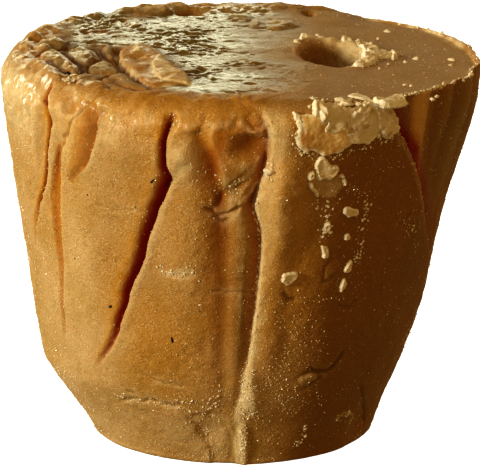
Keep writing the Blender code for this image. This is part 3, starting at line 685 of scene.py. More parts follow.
def top_relief(x, y):
    """Millimetres the top stands above its plain plane, and its masks.

    The plane tips down to the right. Pillows of folded skin are the higher of
    overlapping ovals, and folds a quarter sine of the depth inside an outline,
    with a sunk line along the outline. Hollows are ovals pressed in. A torn flap
    is a step inside an outline. Cobbles and pebbles roughen the left and the
    back. Wet ripples are stretched and warped noise inside the gloss outline.
    Seams, sunk lines, hollows and the crease get painted shade, the top a brown
    tint that is partly painted shade, and the left, the folds and the wet ridge
    pale painted highlights.
    """
    flat = np.stack([x, y], axis=-1)
    masks = {key: np.zeros(x.shape) for key in MASKS}
    away = np.hypot(x, y)
    up = (-2.9 * soft_step(10.0, 58.0, x)
          - 1.0 * soft_step(27.0, 34.0, x + 0.8 * noise(flat, 5.0, SEED + 31)) * soft_step(34.0, 46.0, y))
    level = 1.0 - 0.6 * soft_step(-3.0, 3.0, depth_inside(flat, GLOSS_OUTLINE))
    up += level * bumps(flat, TOP_UNEVEN)

    # Pillows, folds and hollows of the skin
    bend = shake(flat, 5.0, SEED + 36) * 1.1
    bend += shake(flat, 2.0, SEED + 38) * 0.45
    pillow = np.zeros(x.shape)
    olive_tone_and_shade = np.zeros(x.shape)
    for middle_x, middle_y, half_x, half_y, turn, size in PILLOWS:
        rise = oval_rise(x + bend[..., 0] - middle_x, y + bend[..., 1] - middle_y, half_x, half_y, turn, 0.75)
        pillow = np.maximum(pillow, 0.62 * size * rise)
    border = np.zeros(x.shape)
    for outline, edge, size, tint in FOLDS:
        depth = depth_inside(flat + 0.4 * bend, rounded(outline, 1))
        inside = np.sin(0.5 * np.pi * np.clip(depth / edge, 0.0, 1.0))
        border = np.maximum(border, bell(depth + 0.2, 0.5))
        pillow = np.maximum(pillow, 0.60 * size * inside)
        olive_tone_and_shade = np.maximum(olive_tone_and_shade, tint * soft_step(0.0, 0.6, inside))
    folded = soft_step(0.1, 0.9, pillow)
    # Painted shade in the seams round the folds
    olive_tone_and_shade = np.maximum(olive_tone_and_shade, 0.95 * border)
    raise_mask(masks, "deep", 0.3 * border)
    up -= 0.7 * border
    wrinkled = (0.42 * noise(flat * [1.0, 0.4] + 1.5 * bend, 2.2, SEED + 44)
                + 0.16 * noise(flat * [1.0, 0.6] + bend, 1.0, SEED + 45))
    up += pillow + folded * wrinkled
    for middle_x, middle_y, half_x, half_y, turn, size in HOLLOWS:
        rise = oval_rise(x - middle_x, y - middle_y, half_x, half_y, turn, 1.3)
        up += size * rise
        # Painted shade in the hollows
        raise_mask(masks, "deep", 0.2 * rise)
        olive_tone_and_shade = np.maximum(olive_tone_and_shade, 0.6 * rise)

    # The torn flap, its crease and the ridges
    jitter = 0.5 * shake(flat, 2.4, SEED + 22)
    torn = depth_inside(flat + jitter, rounded(FLAP, 1))
    flake = np.maximum(*[depth_inside(flat + 0.7 * jitter, outline) for outline in FLAP_FLAKES])
    on_flap = soft_step(-0.3, 0.6, torn)
    sunk_end = 0.2 + 0.8 * soft_step(-41.0, -28.0, y)
    up += sunk_end * np.sin(0.5 * np.pi * np.clip(torn / 1.6, 0.0, 1.0)) + 0.5 * soft_step(0.0, 0.5, flake)
    up += on_flap * bumps(flat, FLAP_BUMPS)
    gap, along = line_gap(flat + 0.6 * jitter, FLAP_CREASE)
    fold = bell(gap, 0.8) * (1.0 - soft_step(0.85, 1.0, along))
    up -= 1.1 * fold
    # Painted shade in the crease beside the flap
    raise_mask(masks, "deep", 0.2 * fold)
    olive_tone_and_shade = np.maximum(olive_tone_and_shade, 0.8 * fold)
    gap, along = line_gap(flat + 0.5 * jitter, SKIN_RIDGE)
    up += 0.4 * bell(gap, 0.8) * (1.0 - soft_step(0.8, 1.0, along))
    gap, along = line_gap(flat + jitter, WET_RIDGE)
    wet_ridge = bell(gap, 1.7) * between(0.0, 0.15, 0.85, 1.0, along)
    up += 1.3 * wet_ridge
    edge = bell(flake, 0.5) + 0.8 * bell(torn - 0.4, 0.6) * soft_step(-0.3, 0.3, noise(flat, 2.2, SEED + 54))

    # Wet ripples
    spread = depth_inside(flat, GLOSS_OUTLINE) + 2.6 * noise(flat, 8.0, SEED + 24)
    wet = (soft_step(-7.0, 4.0, spread)
           * (1.0 - soft_step(-10.0, 30.0, x + 5.0 * noise(flat * [0.5, 1.0], 7.0, SEED + 58))))
    dim = between(*DIM_FILM, x) * soft_step(0.0, 8.0, y)
    calm = 1.0 - on_flap
    warp = flat + 1.6 * shake(flat, 5.0, SEED + 33)
    ripple = (0.08 * noise(warp * [0.4, 1.0], 6.5, SEED + 35)
              + 0.06 * (0.4 - np.abs(noise(warp * [0.6, 1.0], 4.2, SEED + 27))))
    ripple += 0.11 * noise(warp * [0.7, 1.0], 2.0, SEED + 25) + 0.085 * noise(warp, 1.0, SEED + 26)
    rougher = 0.7 + 0.9 * soft_step(-0.2, 0.6, noise(flat * [0.6, 1.0], 9.0, SEED + 47))
    pitted = (soft_step(0.45, 0.8, noise(warp, 1.8, SEED + 55))
              * soft_step(0.0, 0.5, noise(flat, 12.0, SEED + 56)))
    level_band = np.zeros(x.shape)
    for path, half_width in GLOSS_BANDS:
        level_band = np.maximum(level_band, bell(line_gap(flat, path)[0], half_width))
    ripple = ripple * (1.4 - 0.8 * level_band)
    up += ((1.25 * ripple * rougher - 0.18 * pitted * (1.0 - level_band))
           * (0.25 + 0.75 * np.maximum(wet, 1.3 * dim)) * calm * (1.0 - 0.5 * folded))

    # Cobbles and pebbles of the left and the back, and the bumps of the rim's skin
    left = 1.0 - soft_step(-40.0, -24.0, x)
    front = 1.0 - soft_step(-50.0, -38.0, y)
    outer = soft_step(46.0, 53.0, away) * (1.0 - soft_step(18.0, 30.0, y)) * (1.0 - soft_step(-2.0, 14.0, x))
    bumpy = (left * (1.0 - 0.8 * dim)
             + soft_step(44.0, 51.0, away) * soft_step(8.0, 20.0, y) * (1.0 - soft_step(0.0, 30.0, x)))
    bumpy = np.clip(bumpy, 0.0, 1.0) * (1.0 - on_flap)
    cobble, seam = cobbles((flat + 0.7 * bend) * [1.0, 0.55], 3.4, SEED + 71)
    pebble, crack = cobbles((flat + 0.5 * bend) * [1.0, 0.7], 1.7, SEED + 73)
    up += bumpy * (0.85 * cobble + 0.28 * pebble - 0.5)
    # Olive painted shade in the seams and cracks between cobbles
    olive_tone_and_shade = np.maximum(olive_tone_and_shade,
                       bumpy * np.maximum(0.9 * (1.0 - soft_step(0.0, 0.30, seam)),
                                          0.5 * (1.0 - soft_step(0.0, 0.25, crack))))
    rim_skin = (soft_step(45.0, 51.0, away) * (1.0 - soft_step(2.0, 14.0, x))
                * (1.0 - soft_step(10.0, 26.0, y)))
    up += rim_skin * bumps(flat, RIM_SKIN_BUMPS)
    # Gloss and tints: pale painted highlights on the left, the folds and the wet ridge, a brown tint over the
    # top that is partly painted shade and is lifted at the far rim, and olive painted shade in the crevices
    film = 0.85 + 0.15 * soft_step(-0.35, 0.35, noise(warp * [0.3, 1.0], 4.0, SEED + 53))
    masks["gloss"] = np.maximum(wet * calm * film,
                                np.maximum(0.76 * left * (0.3 + 0.7 * np.maximum(folded, outer)),
                                           0.3 * front * (1.0 - soft_step(-4.0, 12.0, x))))
    raise_mask(masks, "gloss", 0.85 * dim * film)
    raise_mask(masks, "gloss",
          np.maximum(on_flap * (0.34 + 0.3 * soft_step(0.0, 0.5, noise(flat, 2.6, SEED + 75))), 0.15))
    masks["amber_tone_and_glow"] = np.clip(0.42 * outer + 0.1 * folded * (x > -20)
                             + 0.3 * front * (1.0 - soft_step(0.0, 18.0, x)), 0.0, 1.0)
    masks["amber_tone_and_glow"] = np.maximum(masks["amber_tone_and_glow"] * (1.0 - 0.9 * olive_tone_and_shade), 0.62 * on_flap)
    speck = soft_step(0.1, 0.6, noise(flat, 1.6, SEED + 48))
    masks["pale"] = np.maximum(0.95 * edge * (torn > -0.4),
                               (0.25 + 0.35 * soft_step(-0.2, 0.4, noise(flat, 1.8, SEED + 69)))
                               * soft_step(0.2, 1.0, flake))
    raise_mask(masks, "pale", left * speck * (0.55 * outer + 0.10 * (1.0 - olive_tone_and_shade)))
    raise_mask(masks, "pale", 0.2 * wet_ridge * (0.5 + 0.5 * speck))
    raise_mask(masks, "pale", 0.24 * folded * (0.4 + 0.6 * soft_step(-0.3, 0.4, noise(flat, 2.8, SEED + 64))))
    far_rim = soft_step(40.0, 50.0, y) * (1.0 - soft_step(0.0, 12.0, x))
    masks["shade"] = (np.maximum(np.maximum(0.5 * (1.0 - on_flap), wet * (1.0 - outer) * (1.0 - on_flap)),
                                 0.52 * on_flap) * (1.0 - 0.95 * far_rim))
    masks["olive_tone_and_shade"] = np.maximum(np.maximum(olive_tone_and_shade, dim * (1.0 - 0.5 * folded)),
                                np.maximum(wet * (1.0 - outer), 0.30))
    # Olive painted shade in the crevices on the left
    crevice = left * (1.0 - folded) * (1.0 - outer)
    raise_mask(masks, "olive_tone_and_shade", 0.9 * crevice)
    masks["olive_tone_and_shade"] = (np.maximum(masks["olive_tone_and_shade"] * (1.0 - on_flap), 0.15) * (1.0 - 0.8 * outer)
                      * (1.0 - 0.3 * far_rim))
    masks["rough"] = 0.15 + 0.35 * left * (1.0 - olive_tone_and_shade)
    return up, masks


# ---------------------------------------------------------------- the plain bucket form, displaced


def place_on(bearing, radius, height):
    """Points at a bearing, a distance from the axis and a height."""
    turn = np.radians(bearing)
    return np.stack([radius * np.sin(turn), -radius * np.cos(turn), height + 0.0 * turn], axis=-1)


def rim_shape(bearing):
    """Width and drop of the rim's rounding at a bearing, and the shoulder's height and reach."""
    bearings, widths, drops = np.array(RIM, dtype=float).T
    width = np.interp(bearing, bearings, widths)
    drop = np.interp(bearing, bearings, drops)
    return width, drop, TOP_HEIGHT - drop, wall_reach(bearing, TOP_HEIGHT - drop)


def on_wall(bearing, height):
    """Places on the finished wall and rim, with masks.

    Below the shoulder the wall's relief moves a place outwards. On the rim's
    quarter ellipse the wall's relief fades out and the top's relief fades in.
    """
    bearing, height = np.broadcast_arrays(np.asarray(bearing, dtype=float), np.asarray(height, dtype=float))
    width, drop, shoulder, reach = rim_shape(bearing)
    level = np.clip((height - shoulder) / drop, 0.0, 1.0)
    radius = np.where(height > shoulder, reach - width * (1.0 - np.sqrt(1.0 - level**2)),
                      wall_reach(bearing, height))
    share = 1.0 - soft_step(0.0, 1.0, level**2)
    out, wall_masks = wall_relief(bearing, height)
    plain = place_on(bearing, radius, height)
    places = place_on(bearing, radius + out * share, height)
    masks = {key: values * share for key, values in wall_masks.items()}
    rim = share < 1.0
    up, top_masks = top_relief(plain[..., 0][rim], plain[..., 1][rim])
    places[..., 2][rim] += up * (1.0 - share[rim])
    for key in masks:
        masks[key][rim] += top_masks[key] * (1.0 - share[rim])
    torn_rim = (soft_step(34.0, 42.0, bearing)
                * soft_step(-0.3, 0.4, noise(unrolled(bearing, height), 2.2, SEED + 57)))
    torn_rim = torn_rim * bell(height - shoulder - 0.7 * drop, 0.7)
    raise_mask(masks, "pale", torn_rim)
    return places, masks


def on_top(x, y):
    """Places on the finished top face, with masks."""
    x, y = np.broadcast_arrays(np.asarray(x, dtype=float), np.asarray(y, dtype=float))
    up, masks = top_relief(x, y)
    return np.stack([x, y, TOP_HEIGHT + up], axis=-1), masks


def bearings_of_columns():
    """Bearings of the mesh's columns, close together at the front and wider apart at the back."""
    degrees = np.linspace(-180.0, 180.0, 3601)
    gap = FRONT_SPACING + (BACK_SPACING - FRONT_SPACING) * soft_step(84.0, 115.0, np.abs(degrees))
    count = np.concatenate([[0.0], np.cumsum(1.0 / ((gap[1:] + gap[:-1]) * 0.5)) * 0.1])
    columns = int(count[-1])
    return np.interp(np.arange(columns) * count[-1] / columns, count, degrees)


def block_grid():
    """The block as one closed grid of places, with its masks.

    Rows run from the hole's floor up its oval wall to the lip, straight across
    the top face to the rim, round the rim, down the wall to the foot and in to
    the middle of the underside.
    """
    bearing = bearings_of_columns()
    turn = np.radians(bearing)
    middle = np.array([HOLE_CENTRE[0], HOLE_CENTRE[1], 0.0])
    oval = np.stack([HOLE_RADII[0] * np.sin(turn), -HOLE_RADII[1] * np.cos(turn), 0.0 * turn], axis=-1)
    rows = []
    for share in np.linspace(0.04, 1.0, ROWS["hole_floor"]):
        angle = share * math.pi / 2.0
        height = TOP_HEIGHT - HOLE_DEPTH + HOLE_FLOOR_DROP * (1.0 - math.cos(angle))
        rows.append(middle + oval * HOLE_FLOOR_SHARE * math.sin(angle) + [0, 0, height])
    for share in np.linspace(0.0, 1.0, ROWS["hole_wall"])[1:]:
        wide = HOLE_FLOOR_SHARE + (1.0 - HOLE_FLOOR_SHARE) * share**0.8
        height = TOP_HEIGHT - HOLE_DEPTH + HOLE_FLOOR_DROP + (HOLE_DEPTH - HOLE_FLOOR_DROP - HOLE_LIP) * share
        rows.append(middle + oval * wide + [0, 0, height])
    out = oval / np.linalg.norm(oval, axis=1, keepdims=True)
    for angle in np.radians(np.linspace(0.0, 90.0, ROWS["lip"])[1:]):
        place = middle + oval + out * HOLE_LIP * (1.0 - math.cos(angle))
        rows.append(place + [0, 0, TOP_HEIGHT - HOLE_LIP + HOLE_LIP * math.sin(angle)])
    hole_rows = len(rows)
    width, drop, shoulder, reach = rim_shape(bearing)
    start, end = rows[-1], place_on(bearing, reach - width, TOP_HEIGHT + 0.0 * bearing)
    for share in np.linspace(0.0, 1.0, ROWS["top"])[1:-1]:
        rows.append(start + (end - start) * share)
    top = np.array(rows)
    up, masks = top_relief(top[..., 0], top[..., 1])
    dip = -HOLE_TIP * np.cos(turn)
    near = np.ones(len(top))
    near[:hole_rows] = soft_step(TOP_HEIGHT - HOLE_DEPTH * 0.7, TOP_HEIGHT - HOLE_LIP, top[:hole_rows, 0, 2])
    lip_ring = bell(np.arange(len(top)) - hole_rows, 7.0)
    bumpy = bumps(top, HOLE_LIP_BUMPS)
    rim_side = 0.5 + 0.5 * np.cos(turn - math.radians(130.0))
    top[..., 2] += up * near[:, None] + lip_ring[:, None] * (dip + bumpy * (0.35 + rim_side))
    top[:hole_rows, :, :2] += ((top[:hole_rows, :, :2] - middle[:2])
                               * bumps(top[:hole_rows], HOLE_WALL_BUMPS)[..., None])
    inside = np.zeros(len(top))
    inside[:hole_rows] = 1.0
    for key in masks:
        masks[key] = masks[key] * (1.0 - inside[:, None])
    # Painted shade inside the hole, and pale painted light in streaks on the inner wall that faces the key
    # light
    masks["shade"] += inside[:, None] * 0.8
    masks["rough"] += inside[:, None] * 0.8
    streaks = soft_step(-0.3, 0.5, noise(top * [1.0, 1.0, 0.2], 2.6, SEED + 70))
    lit_side = soft_step(0.0, 0.9, np.sin(turn - math.radians(30.0)))
    masks["pale"] += inside[:, None] * near[:, None] * lit_side * (0.35 + 0.35 * streaks)
    ring = (lip_ring[:, None] * rim_side) * 0.8
    raise_mask(masks, "pale", ring)
    raise_mask(masks, "rough", ring)

    angle = np.radians(np.linspace(0.0, 90.0, ROWS["rim"]))[:, None]
    rim_height = shoulder + drop * np.cos(angle)
    share = np.linspace(0.0, 1.0, ROWS["wall"])[1:, None]
    wall_height = shoulder + (FOOT_ROUND - shoulder) * share
    heights = np.concatenate([rim_height, wall_height])
    wall, wall_masks = on_wall(bearing[None, :] + 0.0 * heights, heights)

    under = []
    edge = wall[-1].copy()
    radius = np.linalg.norm(edge[:, :2], axis=1, keepdims=True)
    for angle in np.radians(np.linspace(0.0, 90.0, ROWS["foot"])[1:]):
        ring_scale = (radius - FOOT_ROUND * (1.0 - math.cos(angle))) / radius
        height = np.full((len(edge), 1), FOOT_ROUND * (1.0 - math.sin(angle)))
        under.append(np.concatenate([edge[:, :2] * ring_scale, height], axis=1))
    last = under[-1]
    for share in np.linspace(1.0, 0.05, ROWS["under"])[1:]:
        under.append(last * [share, share, 0.0])
    under = np.array(under)
    places = np.concatenate([top, wall, under])
    for key in masks:
        masks[key] = np.concatenate([masks[key], wall_masks[key],
                                     np.repeat(wall_masks[key][-1:], len(under), axis=0)])
    return places, masks


def grid_normals(places):
    """Unit normals of a grid closed round its columns: cross product of its row and column slopes."""
    down = np.gradient(places, axis=0)
    across = np.roll(places, -1, axis=1) - np.roll(places, 1, axis=1)
    normal = np.cross(down, across)
    return normal / np.maximum(np.linalg.norm(normal, axis=-1, keepdims=True), 1e-9)


def hollowness(places, normals, steps):
    """Millimetres each grid place lies under the mean of its neighbours, from two rounds of running means."""
    mean = places
    spread = range(2 * steps + 1)
    for _ in range(2):
        mean = sum(np.roll(mean, step - steps, axis=1) for step in spread) / len(spread)
        padded = np.concatenate([np.repeat(mean[:1], steps, axis=0), mean,
                                 np.repeat(mean[-1:], steps, axis=0)])
        mean = sum(padded[step:step + len(mean)] for step in spread) / len(spread)
    return np.sum((mean - places) * normals, axis=-1)


# ---------------------------------------------------------------- mesh making


def grid_faces(rows, columns):
    """Quads of a grid that closes round its columns, each facing away from the axis."""
    row, column = np.meshgrid(np.arange(rows - 1), np.arange(columns), indexing="ij")
    after = (column + 1) % columns
    corners = [row * columns + column, (row + 1) * columns + column, (row + 1) * columns + after,
               row * columns + after]
    return np.stack(corners, axis=-1).reshape(-1, 4)


def fan_faces(ring_start, columns, pole, inward):
    """Triangles from a ring of points to one point."""
    column = np.arange(columns)
    after = (column + 1) % columns
    if inward:
        column, after = after, column
    return np.stack([ring_start + column, ring_start + after, np.full(columns, pole)], axis=-1)


def make_object(name, points, faces, attributes=None):
    """Wrap points and lists of face arrays in an object, with one float attribute for each name."""
    mesh = bpy.data.meshes.new(name)
    sizes = np.concatenate([np.full(len(part), part.shape[1]) for part in faces])
    corners = np.concatenate([part.ravel() for part in faces])
    mesh.vertices.add(len(points))
    mesh.vertices.foreach_set("co", (points * MM).astype(np.float32).ravel())
    mesh.loops.add(len(corners))
    mesh.loops.foreach_set("vertex_index", corners.astype(np.int32))
    mesh.polygons.add(len(sizes))
    mesh.polygons.foreach_set("loop_start", np.concatenate([[0], np.cumsum(sizes)[:-1]]).astype(np.int32))
    mesh.update(calc_edges=True)
    for key, values in (attributes or {}).items():
        layer = mesh.attributes.new(key, "FLOAT", "POINT")
        layer.data.foreach_set("value", values.astype(np.float32).ravel())
    mesh.validate()
    mesh.shade_smooth()
    made = bpy.data.objects.new(name, mesh)
    bpy.context.scene.collection.objects.link(made)
    return made


def thin_out(piece, faces_wanted):
    """Collapse edges where the surface is flat until the piece has about the wanted triangles."""
    corners = np.empty(len(piece.data.polygons), dtype=np.int32)
    piece.data.polygons.foreach_get("loop_total", corners)
    triangles = int((corners - 2).sum())
    if triangles > faces_wanted:
        decimate = piece.modifiers.new("thin_out", "DECIMATE")
        decimate.ratio = faces_wanted / triangles
        decimate.use_collapse_triangulate = True
        bpy.context.view_layer.update()
        thinned = bpy.data.meshes.new_from_object(piece.evaluated_get(bpy.context.evaluated_depsgraph_get()))
        piece.modifiers.clear()
        piece.data = thinned
        piece.data.shade_smooth()
    return piece


# ---------------------------------------------------------------- materials


def linear(code):
    """Linear colour from an sRGB hex code."""
    parts = [int(code[at:at + 2], 16) / 255.0 for at in (1, 3, 5)]
    return [part / 12.92 if part <= 0.04045 else ((part + 0.055) / 1.055) ** 2.4 for part in parts] + [1.0]


# Settings that nodes share: a blend of two colours, a product, and a range moved to another with soft ends
COLOUR = {"data_type": "RGBA"}
TIMES = {"operation": "MULTIPLY", "use_clamp": True}
SOFT = {"interpolation_type": "SMOOTHSTEP"}


def add(tree, kind, inputs=(), result=0, **settings):
    """Add a node with its settings and links, and give one of its results.

    Inputs are numbers, hex colours or other results, by name or in the order
    of the sockets in use.
    """
    node = tree.nodes.new("ShaderNode" + kind)
    for key, value in settings.items():
        setattr(node, key, value)
    in_use = [socket for socket in node.inputs if socket.enabled]
    for key, value in inputs.items() if isinstance(inputs, dict) else enumerate(inputs):
        socket = node.inputs[key] if isinstance(key, str) else in_use[key]
        if isinstance(value, bpy.types.NodeSocket):
            tree.links.new(value, socket)
        else:
            socket.default_value = linear(value) if isinstance(value, str) else value
    results = [socket for socket in node.outputs if socket.enabled and result in (0, socket.name)]
    return results[0] if results else None


def speckle(tree, size_mm, detail=2.0, stretch=(1.0, 1.0, 1.0)):
    """Cloudy noise whose blobs are about size_mm across, from 0 to 1, in Object coordinates."""
    place = add(tree, "TexCoord", result="Object")
    if stretch != (1.0, 1.0, 1.0):
        place = add(tree, "Mapping", {"Vector": place, "Scale": stretch})
    inputs = {"Vector": place, "Scale": 1.0 / (size_mm * MM), "Detail": detail, "Roughness": 0.55}
    return add(tree, "TexNoise", inputs, "Fac")


def start_material(name):
    """A new material and its empty node tree."""
    made = bpy.data.materials.new(name)
    made.use_nodes = True
    made.node_tree.nodes.clear()
    return made, made.node_tree


def finish_material(tree, look):
    """Close a tree with its shader, set to a look, and its output."""
    add(tree, "OutputMaterial", {"Surface": add(tree, "BsdfPrincipled", look)})


def cane_sugar(weight, reach_mm):
    """Values shared by all the sugar: its refraction, and how far light wanders in it by colour."""
    spread = {"Subsurface Weight": weight, "Subsurface Radius": (1.0, 0.36, 0.12)}
    return {"IOR": 1.50, "Specular IOR Level": 0.22, **spread, "Subsurface Scale": reach_mm * MM}


# Patterns of the set sugar, across in mm. Its real crystals are 0.1 to 0.3 mm and too fine to show, so
# FINE_SIZE and GRAIN_SIZE are drawn as coarse as they need to be.
CLOUD_SIZE, PATCH_SIZE, WAXY_SIZE, RIPPLE_SIZE, GRAIN_SIZE, FINE_SIZE = 11.0, 4.5, 2.4, 1.4, 1.3, 0.42
RIPPLE_STRETCH = (0.45, 1.0, 1.0)
# Depths of its bump patterns in mm, and its roughness where dry and where wet
GRAIN_DEPTH, WAXY_DEPTH, RIPPLE_DEPTH = 0.26, 0.7, 0.15
DRY_ROUGHNESS, WET_ROUGHNESS = 0.66, 0.07
# Colours of the set sugar. The brown, the red-amber and much of the olive are painted shade, the amber is
# partly a painted glow, and the chalk and bright grain are partly painted highlight.
GOLD, DULL_GOLD, SANDY, AMBER_AND_GLOW, SHADE_BROWN = "#cfa76c", "#bf954f", "#d8b67c", "#d6981e", "#94621c"
OLIVE_AND_SHADE, DARK_GRAIN, CHALK_AND_HIGHLIGHT, GRAIN_AND_GLINT, CREASE_SHADE_RED = "#66561f", "#8c5c1e", "#e8d3a2", "#f4d298", "#982802"
# Colours of the dry crumb, the flap, the crystals and the char
DRY_PALE, DRY_BUFF, DRY_EDGE, DRY_BARE = "#f8ecd0", "#e8d6ae", "#dcc08c", "#b08243"
FLAP_PALE, FLAP_ORANGE, FLAP_GRAIN, FLAP_EDGE = "#f6d494", "#cc9850", "#e8c68a", "#f6e6c0"
CRYSTAL_GOLD, CRYSTAL_PALE, CHAR_BLACK, CHAR_BROWN = "#e0b468", "#fff2cc", "#1c0f06", "#3a2210"


def moulded_jaggery():
    """Boiled cane sugar set against a lined mould: waxy gold, amber where it is thin and beside creases
    (there a painted glow), red-amber painted shade where it is deep, brown and olive painted shade in
    crevices and on the side away from the key light, chalky where it was scraped, with pale painted
    highlights and glints on lit edges, and wet where the skin on top set last."""
    made, tree = start_material("jaggery_moulded_waxy_crystalline")
    mask = {key: add(tree, "Attribute", result="Fac", attribute_name=key) for key in MASKS}
    cloud = speckle(tree, CLOUD_SIZE, 3.0)
    grain = speckle(tree, GRAIN_SIZE, 3.0)
    fine = speckle(tree, FINE_SIZE, 2.0)
    colour = add(tree, "Mix", (add(tree, "MapRange", (cloud, 0.35, 0.68), **SOFT), GOLD, DULL_GOLD), **COLOUR)
    colour = add(tree, "Mix",
                 (add(tree, "MapRange", (grain, 0.52, 0.74, 0.0, 0.4), **SOFT), colour, SANDY), **COLOUR)
    # Amber: the sugar's own amber, and a painted glow beside creases
    colour = add(tree, "Mix", (mask["amber_tone_and_glow"], colour, AMBER_AND_GLOW), **COLOUR)
    # Brown painted shade, then olive that is partly the skin's tone and partly painted shade
    colour = add(tree, "Mix", (add(tree, "Math", (mask["shade"], 0.95), **TIMES), colour, SHADE_BROWN), **COLOUR)
    colour = add(tree, "Mix", (add(tree, "Math", (mask["olive_tone_and_shade"], 0.9), **TIMES), colour, OLIVE_AND_SHADE), **COLOUR)
    patches = add(tree, "MapRange", (speckle(tree, PATCH_SIZE, 2.0), 0.38, 0.62, 0.35, 1.0), **SOFT)
    dark_grain = add(tree, "Math", (add(tree, "MapRange", (fine, 0.34, 0.50, 0.42, 0.0), **SOFT), patches),
                     **TIMES)
    colour = add(tree, "Mix", (dark_grain, colour, DARK_GRAIN), **COLOUR)
    # Chalk where it was scraped, partly a painted highlight on lit edges
    chalk_highlight_share = add(tree, "Math", (mask["pale"], add(tree, "MapRange", (grain, 0.30, 0.55, 0.6, 1.0), **SOFT)),
                **TIMES)
    colour = add(tree, "Mix", (chalk_highlight_share, colour, CHALK_AND_HIGHLIGHT), **COLOUR)
    # Pale crystals in the grain with painted glints, fewer in painted shade and amber
    grains_and_glints = add(tree, "Math",
               (add(tree, "MapRange", (fine, 0.51, 0.68, 0.0, 0.48), **SOFT),
                add(tree, "MapRange", (mask["shade"], 0.0, 1.0, 1.0, 0.3), **SOFT)), **TIMES)
    grains_and_glints = add(tree, "Math", (grains_and_glints, patches), **TIMES)
    grains_and_glints = add(tree, "Math", (grains_and_glints, add(tree, "MapRange", (mask["amber_tone_and_glow"], 0.4, 1.0, 1.0, 0.3), **SOFT)),
               **TIMES)
    colour = add(tree, "Mix", (grains_and_glints, colour, GRAIN_AND_GLINT), **COLOUR)
    # Red-amber painted shade in creases, hollows and the recess
    colour = add(tree, "Mix", (mask["deep"], colour, CREASE_SHADE_RED), **COLOUR)
    rough = add(tree, "MapRange", (mask["gloss"], 0.0, 1.0, DRY_ROUGHNESS, WET_ROUGHNESS), **SOFT)
    strong = add(tree, "MapRange", (mask["gloss"], 0.3, 0.9, 0.75, 0.08), **SOFT)
    wet_lines = speckle(tree, RIPPLE_SIZE, 3.0, RIPPLE_STRETCH)
    wet = add(tree, "MapRange", (mask["gloss"], 0.45, 0.9, 0.0, 0.8), **SOFT)
    waxy = speckle(tree, WAXY_SIZE, 2.0)
    folds = add(tree, "MapRange", (mask["gloss"], 0.40, 0.60, 0.0, 0.45), **SOFT)
    folds = add(tree, "Math",
                (folds, add(tree, "MapRange", (mask["gloss"], 0.70, 0.90, 1.0, 0.0), **SOFT)), **TIMES)
    layers = ((grain, strong, GRAIN_DEPTH), (fine, strong, GRAIN_DEPTH), (waxy, folds, WAXY_DEPTH),
              (wet_lines, wet, RIPPLE_DEPTH))
    # Each layer of bumps lies on the one before it
    relief = {}
    for bump_height, strength, depth in layers:
        inputs = {"Height": bump_height, "Strength": strength, "Distance": depth * MM}
        relief = {"Normal": add(tree, "Bump", {**inputs, **relief})}
    finish_material(tree, {"Base Color": colour, "Roughness": rough, **relief, **cane_sugar(0.12, 1.5)})
    return made


# ---------------------------------------------------------------- pieces


def dress(piece, material):
    """Give a piece its material, hide the block's part from model.glb, and tie the piece to the block's body.
    """
    piece.data.materials.clear()
    piece.data.materials.append(material)
    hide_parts(BLOCK)
    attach(piece, BODY)


# Plates of pale crust on the rim, then the amber flap, and flakes on the wall and the top:
# outline (in bearing and height on the wall), thickness in mm, width of the rounded edge in mm, lumpiness
CRUSTS = (
    (((16.8, 96.6), (21.0, 97.0), (26.0, 95.0), (30.0, 95.6), (33.6, 96.6), (36.0, 95.0), (38.5, 90.6),
      (39.3, 88.2), (37.2, 85.8), (35.4, 87.0), (33.8, 87.6), (33.0, 86.2), (31.4, 85.4), (28.6, 85.8),
      (27.0, 86.2), (25.2, 87.6), (24.6, 89.4), (22.0, 89.0), (20.0, 90.0), (18.5, 90.0), (18.4, 92.5),
      (17.0, 94.0)), 0.9, 0.4, 0.25),
    (((19.9, 94.6), (21.8, 95.6), (23.5, 94.6), (25.9, 93.2), (25.6, 91.2), (24.6, 89.7), (23.0, 89.3),
      (21.1, 89.9), (20.0, 91.2), (19.6, 93.0)), 1.4, 0.6, 0.18),
    (((16.9, 96.4), (18.5, 96.9), (20.8, 96.4), (20.2, 94.6), (19.9, 92.8), (18.9, 92.2), (17.8, 93.4),
      (17.0, 95.0)), 3.4, 1.1, 0.40),
    (((18.7, 92.0), (20.1, 93.0), (21.0, 90.8), (19.8, 89.9), (18.9, 90.1)), 1.3, 0.6, 0.3),
    (((25.7, 93.4), (27.4, 94.2), (29.0, 94.6), (30.4, 95.0), (32.6, 93.2), (32.5, 91.0), (31.0, 90.3),
      (29.8, 89.0), (28.7, 87.4), (27.3, 88.8), (26.6, 90.2), (25.6, 91.6)), 1.5, 0.6, 0.20),
    (((25.0, 89.2), (26.9, 89.5), (28.2, 88.6), (28.7, 86.8), (27.2, 86.2), (25.6, 87.3)), 1.4, 0.7, 0.12),
    (((32.0, 95.2), (33.6, 96.2), (35.4, 95.2), (37.1, 92.7), (38.3, 90.6), (39.3, 88.4), (38.6, 87.0),
      (37.2, 85.8), (35.8, 86.8), (34.4, 88.2), (33.4, 89.8), (32.7, 91.3), (33.0, 93.3)), 1.5, 0.6, 0.22),
    (((29.4, 89.2), (31.0, 90.0), (32.6, 90.2), (33.4, 88.5), (32.8, 86.6), (31.5, 85.6), (30.2, 86.2),
      (28.6, 85.8), (29.0, 87.5)), 1.1, 0.7, 0.35),
    (((33.6, 88.0), (34.8, 88.4), (35.4, 86.8), (34.4, 85.8), (33.4, 86.6)), 1.0, 0.6, 0.3),
    (((11.8, 95.2), (13.4, 94.4), (14.0, 92.8), (13.2, 92.0), (12.2, 93.0)), 1.4, 0.6, 0.4),
)
